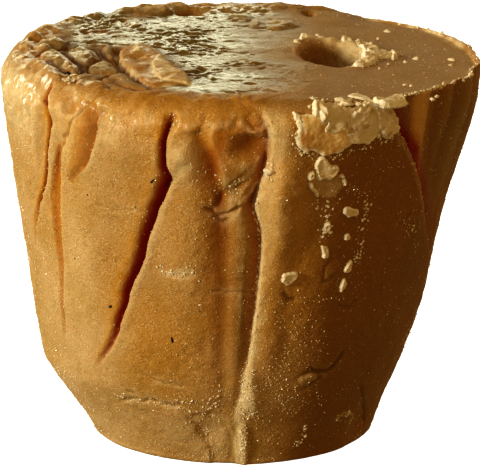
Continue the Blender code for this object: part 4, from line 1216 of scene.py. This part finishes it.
FLAP_OVER = (
    ((12.2, 94.4), (14.4, 94.0), (17.2, 94.4), (19.0, 93.2), (20.5, 91.4), (23.0, 90.6), (24.5, 90.4),
     (26.0, 89.4), (27.1, 87.2), (26.8, 86.0), (25.2, 84.9), (23.5, 83.7), (22.0, 84.1), (20.5, 83.7),
     (18.5, 84.5), (16.2, 85.5), (14.5, 85.4), (13.2, 86.7), (12.1, 88.0), (12.1, 89.2), (13.3, 90.2),
     (13.2, 91.8)), 1.3, 1.8, 0.10,
)
WALL_FLAKES = (
    (((18.8, 83.6), (19.6, 83.9), (20.4, 82.8), (21.2, 81.8), (22.5, 81.0), (23.9, 81.0), (23.8, 79.6),
      (23.2, 78.3), (22.0, 77.8), (19.6, 77.7), (18.3, 78.4), (17.9, 80.2), (18.0, 82.6)), 1.2, 0.45, 0.10),
    (((26.0, 69.6), (28.2, 69.8), (30.6, 69.0), (30.6, 67.4), (28.5, 67.2), (26.0, 68.0)), 0.9, 0.45, 0.12),
    (((10.8, 52.4), (11.2, 54.0), (12.8, 54.4), (15.2, 53.8), (15.2, 52.6), (13.5, 51.0), (11.8, 50.8)),
     0.9, 0.5, 0.12),
    (((20.8, 60.7), (22.8, 60.2), (23.1, 57.4), (21.2, 57.2), (21.2, 59.0)), 0.8, 0.4, 0.12),
    (((28.8, 54.8), (30.5, 56.0), (31.0, 53.2), (29.8, 52.4), (28.0, 53.2)), 0.8, 0.4, 0.15),
    (((28.8, 51.8), (30.0, 49.5), (28.8, 47.6), (27.2, 47.0), (28.0, 49.2)), 0.8, 0.4, 0.15),
    (((27.2, 62.6), (28.6, 62.8), (28.8, 61.4), (27.4, 61.2)), 0.7, 0.4, 0.2),
    (((21.2, 66.6), (23.0, 66.4), (23.2, 64.0), (21.6, 63.8)), 0.8, 0.45, 0.3),
    (((15.8, 78.8), (16.6, 79.7), (17.8, 80.0), (18.0, 78.8), (17.3, 77.8), (16.6, 77.2)), 1.2, 0.5, 0.35),
    (((16.5, 77.4), (17.3, 77.2), (18.2, 75.4), (19.4, 73.6), (18.6, 73.2), (17.2, 75.2)), 0.8, 0.4, 0.5),
    (((24.0, 78.3), (25.3, 78.6), (26.0, 77.6), (25.7, 76.4), (26.4, 75.6), (25.3, 75.5), (24.8, 76.6),
      (25.0, 77.6)), 0.9, 0.35, 0.3),
    (((6.0, 80.6), (7.4, 81.6), (8.4, 80.6), (7.2, 79.4), (6.0, 79.2)), 1.0, 0.5, 0.3),
)
TOP_FLAKES = (
    (((31.5, -50.0), (32.8, -46.6), (34.8, -48.6), (36.4, -45.4), (38.4, -43.6), (40.2, -46.2),
      (39.6, -48.8), (37.0, -51.2), (34.6, -53.0), (32.6, -52.0)), 1.1, 0.7, 0.25),
    (((25.2, 12.6), (25.6, 17.0), (26.8, 19.4), (27.8, 16.6), (28.8, 13.6), (27.6, 11.8)), 1.4, 0.9, 0.35),
    (((28.4, 12.0), (29.2, 14.6), (31.8, 14.8), (34.0, 11.4), (34.8, 6.0), (34.4, 0.8), (31.6, 0.4),
      (30.9, 4.0), (30.2, 8.0)), 1.2, 0.9, 0.50),
    (((30.8, 1.2), (34.6, 2.0), (34.4, -4.0), (33.2, -8.6), (31.0, -12.0), (28.4, -12.8), (27.6, -11.0),
      (29.3, -7.2), (30.5, -2.8)), 1.2, 0.9, 0.45),
    (((33.8, 6.9), (36.3, 6.2), (38.4, 5.2), (37.8, 0.6), (36.2, -2.6), (34.0, -3.0)), 0.8, 0.7, 0.5),
    (((37.4, 5.6), (39.2, 4.0), (39.4, -1.0), (38.0, -3.6), (37.6, -1.5), (38.2, 2.0)), 1.0, 0.5, 0.45),
    (((14.6, 10.6), (15.0, 14.8), (16.6, 15.6), (17.8, 12.8), (16.6, 10.6)), 1.5, 0.8, 0.4),
    (((23.7, -53.6), (25.6, -52.0), (26.6, -53.0), (24.4, -55.0)), 0.6, 0.5, 0.3),
    (((25.6, -46.4), (27.4, -42.6), (29.6, -44.2), (31.6, -47.8), (29.4, -48.6), (27.2, -47.4)), 0.5, 1.2,
     0.3),
)
# Grid of a crust in mm: cell, margin round its outline, how far past it the crust dips, depth of its skirt
SHEET_CELL, SHEET_MARGIN, SKIRT_REACH, SKIRT_DEPTH = 0.2, 1.2, 0.5, 0.75
# How far noise bends a crust's outline
CRUST_CRINKLE, FLAKE_CRINKLE = 0.5, 0.26
# Rows and columns of a small lump, a large one, a burnt speck and a crystal
SMALL_LUMP, LARGE_LUMP, SPECK_LUMP, CRYSTAL = (4, 7), (14, 18), (6, 10), (1, 4)

# Crumbs placed one by one: x, y, three half sizes
HOLE_CRUMBS = (
    (17.6, 14.4, 1.0, 0.8, 0.8), (14.2, 9.0, 0.9, 0.7, 0.6), (20.4, 15.4, 0.8, 0.7, 0.6),
    (30.4, 15.2, 0.9, 0.8, 0.7), (43.8, 0.2, 0.8, 0.6, 0.5), (37.5, 28.9, 0.8, 0.6, 0.6),
    (35.0, 20.6, 0.5, 0.4, 0.4), (52.9, 2.1, 1.4, 0.6, 0.5), (40.0, -30.1, 0.5, 0.4, 0.4),
    (41.0, -5.0, 0.6, 0.5, 0.4), (52.4, -3.6, 0.6, 0.5, 0.4), (47.4, -39.7, 0.5, 0.5, 0.4),
    (41.6, -30.6, 0.5, 0.4, 0.4), (46.2, -43.0, 0.6, 0.4, 0.4), (26.2, -51.0, 0.6, 0.5, 0.5),
    (23.8, -52.4, 1.4, 0.6, 0.6), (24.6, -53.2, 0.5, 0.5, 0.4), (25.4, -55.0, 1.0, 0.6, 0.5),
    (28.4, -54.6, 0.9, 0.7, 0.5), (29.6, -54.8, 0.6, 0.5, 0.4), (30.6, -53.8, 0.8, 0.6, 0.5),
    (19.6, 19.0, 0.5, 0.5, 0.4), (34.4, -13.4, 0.5, 0.4, 0.4), (36.8, -8.6, 0.5, 0.4, 0.4),
)
# Crumbs scattered along bent lines: path, how many, spread in mm, smallest and largest half size
WALL_TRAILS = (
    (((18.6, 73), (22.4, 69.5), (22, 65), (20, 62)), 60, 0.8, 0.14, 0.5),
    (((34.2, 71.2), (33.2, 66.8), (32.8, 61.5), (32, 56.5), (29.5, 52)), 60, 0.8, 0.14, 0.5),
    (((12, 90), (12.6, 86), (16, 84.6), (24, 83.4), (31, 85.2), (38, 85.2)), 80, 0.6, 0.14, 0.45),
    (((17, 96), (22, 95.4), (28, 94.8), (34, 95.6)), 50, 0.5, 0.14, 0.5),
    (((38, 90), (43, 84), (48, 77), (51, 73)), 40, 0.8, 0.13, 0.35),
    (((7.4, 84), (7.4, 81), (6.4, 78)), 24, 0.35, 0.13, 0.40),
    (((4.2, 74), (3.6, 70), (4.8, 65), (5.2, 58), (4.8, 50)), 60, 0.30, 0.13, 0.4),
    (((4.9, 52), (4.3, 44), (3.4, 36), (1.8, 27), (0.0, 18)), 110, 0.25, 0.12, 0.32),
    (((2.6, 28), (2.2, 18)), 100, 1.2, 0.12, 0.30),
    (((-0.6, 15.6), (7.0, 15.4)), 40, 0.5, 0.13, 0.34),
    (((1.0, 12), (1.0, 1.5)), 90, 0.8, 0.12, 0.36),
    (((6.8, 25), (13, 20), (19, 16)), 120, 2.2, 0.10, 0.22),
    (((8, 48), (12, 38), (16, 30)), 60, 3.4, 0.10, 0.2),
    (((-22, 53.4), (-16, 54.4), (-11, 54)), 60, 0.9, 0.12, 0.36),
    (((-44, 16.8), (-30, 17.6), (-16.5, 16)), 60, 0.6, 0.12, 0.32),
    (((-20, 20), (-16, 17), (-8, 18), (-6, 23)), 90, 1.6, 0.12, 0.36),
    (((-15.5, 12), (-12, 9), (-10, 5)), 60, 1.6, 0.12, 0.32),
    (((24.8, 11), (25, 6.5), (21.8, 4.5)), 30, 0.5, 0.14, 0.4),
    (((37, 9.8), (44, 11.2), (50, 7)), 24, 0.4, 0.13, 0.34),
    (((45, 65.5), (50, 61), (55, 58)), 24, 1.2, 0.12, 0.34),
    (((41, 96.2), (48, 96.2), (56, 96.0), (66, 95.8), (78, 95.8)), 170, 0.3, 0.14, 0.55),
    (((-16, 94), (-14, 92), (-19, 93)), 16, 0.8, 0.13, 0.34),
    (((-9, 80), (-5, 77), (-2, 74), (0, 79)), 60, 1.3, 0.12, 0.34),
    (((24, 79), (30, 74), (33, 70)), 30, 1.6, 0.12, 0.3),
    (((96, 95), (120, 95), (150, 95), (178, 95)), 110, 0.6, 0.14, 0.5),
    (((-175, 60), (-168, 40)), 40, 1.5, 0.13, 0.4),
    (((100, 30), (121, 34)), 30, 0.8, 0.13, 0.4),
)
TOP_TRAILS = (
    (((25, 17), (31, 15), (35, 9), (35.5, 1), (33.5, -9), (29, -13)), 70, 0.9, 0.14, 0.45),
    (((35, 6), (42, 2.5)), 30, 1.4, 0.14, 0.4),
    (((18, 14), (14.6, 9), (13.8, 3)), 40, 0.6, 0.13, 0.4),
    (((14, 30), (34, 20), (48, 0), (44, -24), (28, -44)), 50, 7.0, 0.12, 0.28),
    (((20, -50), (28, -52), (36, -49)), 40, 1.2, 0.13, 0.4),
    (((-41.6, -27), (-40.6, -33), (-41, -38)), 40, 0.9, 0.14, 0.5),
)
# Burnt specks: bearing and height on the wall or x and y on the top, half length, half width
SPECKS = (
    (-21.5, 77.0, 0.75, 0.22), (-37.5, 42.5, 0.5, 0.35), (-48.2, 53.2, 0.16, 0.14),
    (-26.8, 69.8, 0.18, 0.16), (-40.2, 71.2, 0.22, 0.18), (-19.5, 35.6, 0.30, 0.85), (124, 58, 0.4, 0.3),
    (-140, 72, 0.5, 0.3), (160, 34, 0.3, 0.5),
)
TOP_SPECKS = ((-41.9, -25.2, 0.9, 0.9),)
SPECK_HEIGHTS = (0.22, 0.22 + 0.2)


def build_block():
    """The block itself: the closed grid, pushed along its normals by crumbly noise where it is rough.

    Hollow places get painted shade and a painted amber glow, and standing ones
    are made paler, partly as a painted highlight, by how far each lies under
    the running mean of its neighbours.
    """
    places, masks = block_grid()
    normals = grid_normals(places)
    grainy = bumps(places, CRUMBLE)
    flat_foot = soft_step(0.0, 1.5, places[..., 2])
    places = places + normals * (grainy * masks["rough"] * flat_foot)[..., None]
    hollow = hollowness(places, normals, 4)
    on_side = soft_step(0.0, 0.3, 1.0 - np.abs(normals[..., 2]))
    high = soft_step(30.0, 60.0, places[..., 2])
    # Painted amber glow and painted shade in hollows, and olive painted shade in sunk places of the top;
    # standing places get paler, partly as a painted highlight
    raise_mask(masks, "amber_tone_and_glow", 0.8 * soft_step(0.02, 0.30, hollow) * on_side * high)
    raise_mask(masks, "deep", 0.45 * soft_step(0.22, 0.8, hollow) * on_side * high)
    raise_mask(masks, "shade", 0.6 * soft_step(0.04, 0.40, hollow) * on_side * (1.0 - high))
    sunk = soft_step(0.05, 0.35, hollow) * (1.0 - on_side) * (places[..., 0] < 0.0)
    raise_mask(masks, "olive_tone_and_shade", sunk)
    raise_mask(masks, "deep", 0.08 * sunk)
    below_rim = 1.0 - soft_step(84.0, 90.0, places[..., 2])
    raise_mask(masks, "pale", 0.32 * soft_step(0.08, 0.40, -hollow) * below_rim
          * soft_step(3.0, 8.0, places[..., 2]))
    rows, columns = places.shape[:2]
    points = places.reshape(-1, 3)
    hole_floor = [HOLE_CENTRE[0], HOLE_CENTRE[1], TOP_HEIGHT - HOLE_DEPTH]
    points = np.concatenate([points, [hole_floor, [0.0, 0.0, 0.0]]])
    faces = [grid_faces(rows, columns), fan_faces(0, columns, rows * columns, False),
             fan_faces((rows - 1) * columns, columns, rows * columns + 1, True)]
    attributes = {}
    for key, values in masks.items():
        attributes[key] = np.concatenate([values.ravel(), values[0, :1], values[-1, :1]])
    piece = make_object("block", points, faces, attributes)
    thin_out(piece, BLOCK_TRIANGLES)
    return places, normals, masks, piece


def dry_sugar():
    """Broken, dry sugar with no skin: chalky and pale with a browner grain showing through."""
    made, tree = start_material("jaggery_broken_dry_crumb")
    tone = add(tree, "Attribute", result="Fac", attribute_name="tone")
    colour = add(tree, "Mix",
                 (add(tree, "MapRange", (speckle(tree, 1.6, 3.0), 0.35, 0.7), **SOFT), DRY_PALE, DRY_BUFF),
                 **COLOUR)
    colour = add(tree, "Mix",
                 (add(tree, "MapRange", (tone, 0.05, 0.50, 0.6, 0.0), **SOFT), colour, DRY_EDGE), **COLOUR)
    bare = add(tree, "Math",
               (add(tree, "MapRange", (speckle(tree, 2.4, 3.0), 0.54, 0.66, 0.0, 0.5), **SOFT),
                add(tree, "MapRange", (tone, 0.1, 0.6, 1.0, 0.0), **SOFT)), **TIMES)
    colour = add(tree, "Mix", (bare, colour, DRY_BARE), **COLOUR)
    bump = add(tree, "Bump", {"Height": speckle(tree, 0.6, 2.0), "Strength": 0.5, "Distance": 0.2 * MM})
    finish_material(tree, {"Base Color": colour, "Roughness": 0.72, "Normal": bump, **cane_sugar(0.0, 1.0)})
    return made


def thin_amber_flap():
    """A thin lip of sugar pulled over the rim: orange where light comes through, pale at its torn edge."""
    made, tree = start_material("jaggery_thin_translucent_flap")
    edge = add(tree, "Attribute", result="Fac", attribute_name="tone")
    cloud = add(tree, "MapRange", (speckle(tree, 3.5, 3.0), 0.35, 0.68), **SOFT)
    colour = add(tree, "Mix", (cloud, FLAP_PALE, FLAP_ORANGE), **COLOUR)
    colour = add(tree, "Mix",
                 (add(tree, "MapRange", (speckle(tree, 0.5, 1.0), 0.58, 0.75, 0.0, 0.5), **SOFT), colour,
                  FLAP_GRAIN), **COLOUR)
    colour = add(tree, "Mix", (add(tree, "MapRange", (edge, 0.20, 0.70), **SOFT), colour, FLAP_EDGE),
                 **COLOUR)
    bump = add(tree, "Bump", {"Height": speckle(tree, 1.6, 2.0), "Strength": 0.5, "Distance": 0.3 * MM})
    finish_material(tree, {"Base Color": colour, "Roughness": 0.36, "Normal": bump, **cane_sugar(0.10, 1.2)})
    return made


def sugar_crystal():
    """Single crystals standing in the surface: bright, glossy facets that catch the light."""
    made, tree = start_material("jaggery_loose_crystals")
    tone = add(tree, "Attribute", result="Fac", attribute_name="tone")
    colour = add(tree, "Mix", (tone, CRYSTAL_GOLD, CRYSTAL_PALE), **COLOUR)
    look = {**cane_sugar(0.0, 1.0), "Base Color": colour, "Roughness": 0.22}
    finish_material(tree, {**look, "Specular IOR Level": 0.8})
    return made


def charred_cane():
    """Burnt bits of cane fibre caught in the sugar: nearly black and dry."""
    made, tree = start_material("charred_cane_fibre")
    colour = add(tree, "Mix", (speckle(tree, 0.5, 1.0), CHAR_BLACK, CHAR_BROWN), **COLOUR)
    finish_material(tree, {"Base Color": colour, "Roughness": 0.65})
    return made


def with_normals(place, first, second, step=0.4):
    """Places of a surface function and their unit normals, from the cross product of two small steps."""
    here = place(first, second)[0]
    across = place(first + step, second)[0] - here
    along = place(first, second + step)[0] - here
    normal = np.cross(across, along)
    return here, normal / np.linalg.norm(normal, axis=-1, keepdims=True)


def unit_ball(rings, around):
    """A unit ball as rows of points between two poles: sine and cosine of its two angles."""
    fall = np.pi * np.arange(1, rings + 1)[:, None] / (rings + 1)
    turn = 2.0 * np.pi * np.arange(around)[None, :] / around
    x, y = np.sin(fall) * np.cos(turn), np.sin(fall) * np.sin(turn)
    rows = np.stack([x, y, np.cos(fall) + 0.0 * turn], axis=-1).reshape(-1, 3)
    points = np.concatenate([rows, [[0.0, 0.0, 1.0], [0.0, 0.0, -1.0]]])
    count = rings * around
    first, last = fan_faces(0, around, count, False), fan_faces(count - around, around, count + 1, True)
    return points, grid_faces(rings, around), np.concatenate([first, last])


def lumps(centres, normals, sizes, seed, grid, rough, sink=0.3):
    """Many small lumps as one set of points and faces.

    Each is a unit ball whose distance from its middle is changed by noise,
    scaled by its three half sizes, turned at random about the surface normal
    and sunk by a share of its height.
    """
    ball, quads, caps = unit_ball(*grid)
    pick = np.random.default_rng(seed)
    count = len(centres)
    spot = ball[None] + pick.uniform(-90.0, 90.0, (count, 1, 3))
    swell = 1.0 + rough * noise(spot, 0.9, seed) + 0.5 * rough * noise(spot, 0.4, seed + 1)
    shaped = ball[None] * swell[..., None] * sizes[:, None, :]
    guide = np.where(np.abs(normals[:, 2:]) > 0.8, [[1.0, 0.0, 0.0]], [[0.0, 0.0, 1.0]])
    side = np.cross(guide, normals)
    side /= np.linalg.norm(side, axis=1, keepdims=True)
    other = np.cross(normals, side)
    turn = pick.uniform(0.0, 2.0 * np.pi, count)[:, None]
    first = side * np.cos(turn) + other * np.sin(turn)
    second = np.cross(normals, first)
    lift = (1.0 - 2.0 * sink) * sizes[:, None, 2:]
    places = centres[:, None] + shaped[..., :1] * first[:, None] + shaped[..., 1:2] * second[:, None]
    places = places + (shaped[..., 2:] + lift) * normals[:, None]
    step = (np.arange(count) * len(ball))[:, None, None]
    faces = [(part[None] + step).reshape(-1, part.shape[1]) for part in (quads, caps)]
    tone = np.repeat(pick.uniform(0.0, 1.0, count), len(ball))
    return places.reshape(-1, 3), faces, tone


def sheet(place, outline, thick, edge, lumpy, seed, flat_scale=1.0, crinkle=0.5):
    """A thin crust lying on a surface, closed underneath.

    On a grid over an outline whose line noise has bent, the height is a
    quarter round of the depth inside the outline, level past the edge width,
    times lumps of noise. Outside the outline it dips under the surface, where
    it is cut off and joined to an underside by a skirt.
    """
    corners = rounded(outline, 1) * [flat_scale, 1.0]
    low, high = corners.min(axis=0) - SHEET_MARGIN, corners.max(axis=0) + SHEET_MARGIN
    u, v = (np.arange(start, end, SHEET_CELL) for start, end in zip(low, high))
    u, v = np.meshgrid(u, v, indexing="ij")
    plan = np.stack([u, v], axis=-1)
    bend = shake(plan, 1.7, seed + 5)
    bend += 0.8 * shake(plan, 0.8, seed + 7)
    depth = depth_inside(plan + crinkle * bend, corners)
    inner = np.clip(depth / edge, 0.0, 1.0)
    lift = (0.78 * thick * np.sin(0.5 * np.pi * inner) ** 0.5
            * (1.0 + lumpy * fractal(plan, 2.0, seed, 3, 0.7)))
    lift += 0.16 * bell(depth - 0.36, 0.24) + np.where(depth < 0.0, depth, 0.0)
    here, normal = with_normals(place, u / flat_scale, v, 1.0)
    top, under = here + normal * lift[..., None], here - normal * SKIRT_DEPTH
    inside = depth > -SKIRT_REACH
    kept = inside[:-1, :-1] & inside[1:, :-1] & inside[1:, 1:] & inside[:-1, 1:]
    number = np.arange(u.size).reshape(u.shape)
    ring = np.stack([number[:-1, :-1], number[1:, :-1], number[1:, 1:], number[:-1, 1:]], axis=-1)
    around = np.pad(kept, 1)
    beside = [around[1:-1, :-2], around[2:, 1:-1], around[1:-1, 2:], around[:-2, 1:-1]]
    quads = [ring[kept], ring[kept][:, ::-1] + u.size]
    for side, other in enumerate(beside):
        open_edge = ring[kept & ~other]
        first, last = open_edge[:, side], open_edge[:, (side + 1) % 4]
        quads.append(np.stack([last, first, first + u.size, last + u.size], axis=-1))
    used, faces = np.unique(np.concatenate(quads), return_inverse=True)
    points = np.concatenate([top.reshape(-1, 3), under.reshape(-1, 3)])[used]
    tone = np.concatenate([1.0 - inner.ravel(), np.ones(u.size)])[used]
    return points, [faces.reshape(-1, 4)], tone


def joined(name, parts, material, flat=False):
    """Join sets of (points, faces, tone) in one object and dress it."""
    points, faces, start = [], [], 0
    for part_points, part_faces, _ in parts:
        faces += [part + start for part in part_faces]
        points.append(part_points)
        start += len(part_points)
    piece = make_object(name, np.concatenate(points), faces,
                        {"tone": np.concatenate([part[2] for part in parts])})
    if flat:
        piece.data.shade_flat()
    dress(piece, material)
    return piece


def strewn(place, paths, seed, flat_scale):
    """Lumps scattered beside bent lines on a surface: points at even random shares plus a random offset."""
    pick = np.random.default_rng(seed)
    made = []
    for number, (path, count, spread, low, high) in enumerate(paths):
        points = np.array(path, dtype=float)
        share = pick.uniform(0.0, len(points) - 1.0, count)
        at = np.stack([np.interp(share, np.arange(len(points)), points[:, axis]) for axis in (0, 1)], axis=-1)
        at += pick.normal(0.0, spread, (count, 2)) * [1.0 / flat_scale, 1.0]
        size = low + (high - low) * pick.uniform(0.0, 1.0, count) ** FEW_LARGE
        shape = size[:, None] * pick.uniform([0.8, 0.6, 0.4], [1.4, 1.0, 0.75], (count, 3))
        centres, normals = with_normals(place, at[:, 0], at[:, 1])
        made.append(lumps(centres, normals, shape, seed + number, SMALL_LUMP, 0.45))
    return made


def single_lumps(place, rows, seed):
    """Lumps placed one by one: first and second surface coordinate, and three half sizes."""
    table = np.array(rows, dtype=float)
    centres, normals = with_normals(place, table[:, 0], table[:, 1])
    return lumps(centres, normals, table[:, 2:5], seed, LARGE_LUMP, 0.35, 0.35)


def plates(rows, crinkle):
    """One thin crust for each surface, row of its table and flat scale, each with a seed of its own."""
    made = []
    for number, (place, row, scale) in enumerate(rows):
        made.append(sheet(place, *row, SEED + 10 * number, scale, crinkle=crinkle))
    return made


def build_crumbs():
    """The rim crust, the flakes and the crumbs as three pieces, one for each kind."""
    dry = dry_sugar()
    joined("rim_crust", plates([(on_wall, row, WALL_FLAT) for row in CRUSTS], CRUST_CRINKLE), dry)
    rows = [(on_wall, row, WALL_FLAT) for row in WALL_FLAKES] + [(on_top, row, 1.0) for row in TOP_FLAKES]
    joined("sugar_flakes", plates(rows, FLAKE_CRINKLE), dry)
    crumbs = [single_lumps(on_top, HOLE_CRUMBS, SEED + 95)]
    crumbs += strewn(on_wall, WALL_TRAILS, SEED + 100, WALL_FLAT)
    crumbs += strewn(on_top, TOP_TRAILS, SEED + 150, 1.0)
    joined("sugar_crumbs", crumbs, dry)


def build_flap():
    """The amber flap of sugar hanging over the front of the rim."""
    joined("amber_flap", [sheet(on_wall, *FLAP_OVER, SEED + 70, WALL_FLAT)], thin_amber_flap())


def build_specks():
    """Burnt specks lying in the wall and in a pit of the top."""
    made = []
    for number, (place, rows) in enumerate(((on_wall, SPECKS), (on_top, TOP_SPECKS))):
        table = np.array(rows, dtype=float)
        centres, normals = with_normals(place, table[:, 0], table[:, 1])
        sizes = np.stack([table[:, 2], table[:, 3], np.full(len(table), SPECK_HEIGHTS[number])], axis=-1)
        made.append(lumps(centres, normals, sizes, SEED + 80 + number, SPECK_LUMP, 0.35, 0.45))
    joined("cane_specks", made, charred_cane())


def grain_density(places, normals, masks):
    """How close the crystals lie: in clouds and on pale ground, fewer where a mask hides them and on top."""
    density = 0.30 + 1.3 * soft_step(0.0, 0.9, fractal(places, 9.0, SEED + 62, 2)) + 1.2 * masks["pale"]
    density = density * soft_step(0.0, 2.0, places[..., 2])
    for key, share in GRAINS_HIDDEN:
        density = density * (1.0 - share * masks[key])
    return density * (1.0 - 0.8 * soft_step(0.6, 0.9, normals[..., 2]))


def build_grains(places, normals, density):
    """Single crystals dotted over the block, at grid places picked by area and density."""
    pick = np.random.default_rng(SEED + 60)
    down = np.linalg.norm(np.gradient(places, axis=0), axis=-1)
    across = np.linalg.norm(np.roll(places, -1, axis=1) - places, axis=-1)
    chance = (down * across * density).ravel()
    chosen = pick.choice(chance.size, GRAIN_COUNT, replace=False, p=chance / chance.sum())
    sizes = GRAIN_SMALLEST + GRAIN_SPREAD * pick.uniform(0.0, 1.0, (GRAIN_COUNT, 1)) ** FEW_LARGE
    sizes = sizes * pick.uniform(0.7, 1.2, (GRAIN_COUNT, 3))
    spots, upright = places.reshape(-1, 3)[chosen], normals.reshape(-1, 3)[chosen]
    made = lumps(spots, upright, sizes, SEED + 61, CRYSTAL, 0.3, 0.35)
    joined("sugar_grains", [made], sugar_crystal(), flat=True)


places, normals, masks, block = build_block()
dress(block, moulded_jaggery())
build_grains(places, normals, grain_density(places, normals, masks))
build_flap()
build_crumbs()
build_specks()


# ---------------------------------------------------------------- stage

# Lens in mm, height angle of the view in degrees, and metres for the camera's distance and target
CAMERA_LENS, CAMERA_RISE, CAMERA_DISTANCE, CAMERA_TARGET = 342.75, 14.9, 1.15, (0.0, 0.0, 0.0502)
# Soft lights: name, width and height in metres, watts, colour, bearing, height angle, distance in metres
LIGHTS = (
    ("key", (0.36, 0.36), 16.6, "#fffbee", -57.0, 15.0, 1.7),
    ("side", (0.40, 0.40), 6.5, "#f6f6ea", -122.0, 16.0, 1.7),
    ("window", (1.5, 0.38), 5.0, "#f4f8dc", 180.0, 16.0, 1.9),
)
FLOOR_HALF = 4.0
# Linear colours of the light from the dim and the bright side of the room
DIM_SIDE, BRIGHT_SIDE = (0.34, 0.235, 0.098, 1.0), (0.29, 0.275, 0.23, 1.0)


def stage_object(name, data):
    """Add a light, camera or floor to the scene."""
    made = bpy.data.objects.new(name, data)
    bpy.context.scene.collection.objects.link(made)
    return made


def aim(thing, bearing, height, distance, target):
    """Put a light at a bearing, height angle and distance from a target, facing it."""
    turn, rise = math.radians(bearing), math.radians(height)
    away = np.array([math.sin(turn) * math.cos(rise), -math.cos(turn) * math.cos(rise), math.sin(rise)])
    thing.location = np.array(target) + away * distance
    thing.rotation_euler = (math.pi / 2.0 - rise, 0.0, turn)


def area_light(name, size, energy, colour, bearing, height, distance, target=(0.0, 0.0, 0.06)):
    """A soft flat light aimed at the block."""
    data = bpy.data.lights.new(name, "AREA")
    data.shape = "RECTANGLE"
    data.size, data.size_y = size
    data.energy = energy
    data.color = linear(colour)[:3]
    aim(stage_object(name, data), bearing, height, distance, target)


floor_mesh = bpy.data.meshes.new("floor")
floor_corners = [(x * FLOOR_HALF, y * FLOOR_HALF, 0.0) for x, y in ((-1, -1), (1, -1), (1, 1), (-1, 1))]
floor_mesh.from_pydata(floor_corners, [], [(0, 1, 2, 3)])
floor = stage_object("floor", floor_mesh)
floor_look, floor_tree = start_material("pale_paper_floor")
paper_light = {"Emission Color": (1.0, 1.0, 1.0, 1.0), "Emission Strength": 0.80}
finish_material(floor_tree, {"Base Color": (0.5, 0.52, 0.54, 1.0), "Roughness": 0.9, **paper_light})
floor_mesh.materials.append(floor_look)
floor.visible_diffuse = False
floor.visible_glossy = False

camera_data = bpy.data.cameras.new("camera")
camera_data.lens = CAMERA_LENS
camera = stage_object("camera", camera_data)
aim(camera, 0.0, CAMERA_RISE, CAMERA_DISTANCE, CAMERA_TARGET)
bpy.context.scene.camera = camera

for row in LIGHTS:
    area_light(*row)

world = bpy.data.worlds.new("world")
world.use_nodes = True
tree = world.node_tree
tree.nodes.clear()
direction = {"Vector": add(tree, "TexCoord", result="Generated")}
glow = add(tree, "MapRange", (add(tree, "SeparateXYZ", direction, "X"), -0.75, 0.05, 1.0, 0.0), **SOFT)
ground = add(tree, "MapRange", (add(tree, "SeparateXYZ", direction, "Z"), -0.8, -0.05, 0.5, 1.0), **SOFT)
glow_colour = add(tree, "Mix", (glow, DIM_SIDE, BRIGHT_SIDE), **COLOUR)
sky = add(tree, "Background", {"Color": glow_colour, "Strength": ground})
add(tree, "OutputWorld", {"Surface": sky})
bpy.context.scene.world = world
bpy.context.scene.view_settings.view_transform = "Standard"
bpy.context.scene.view_settings.look = "High Contrast"
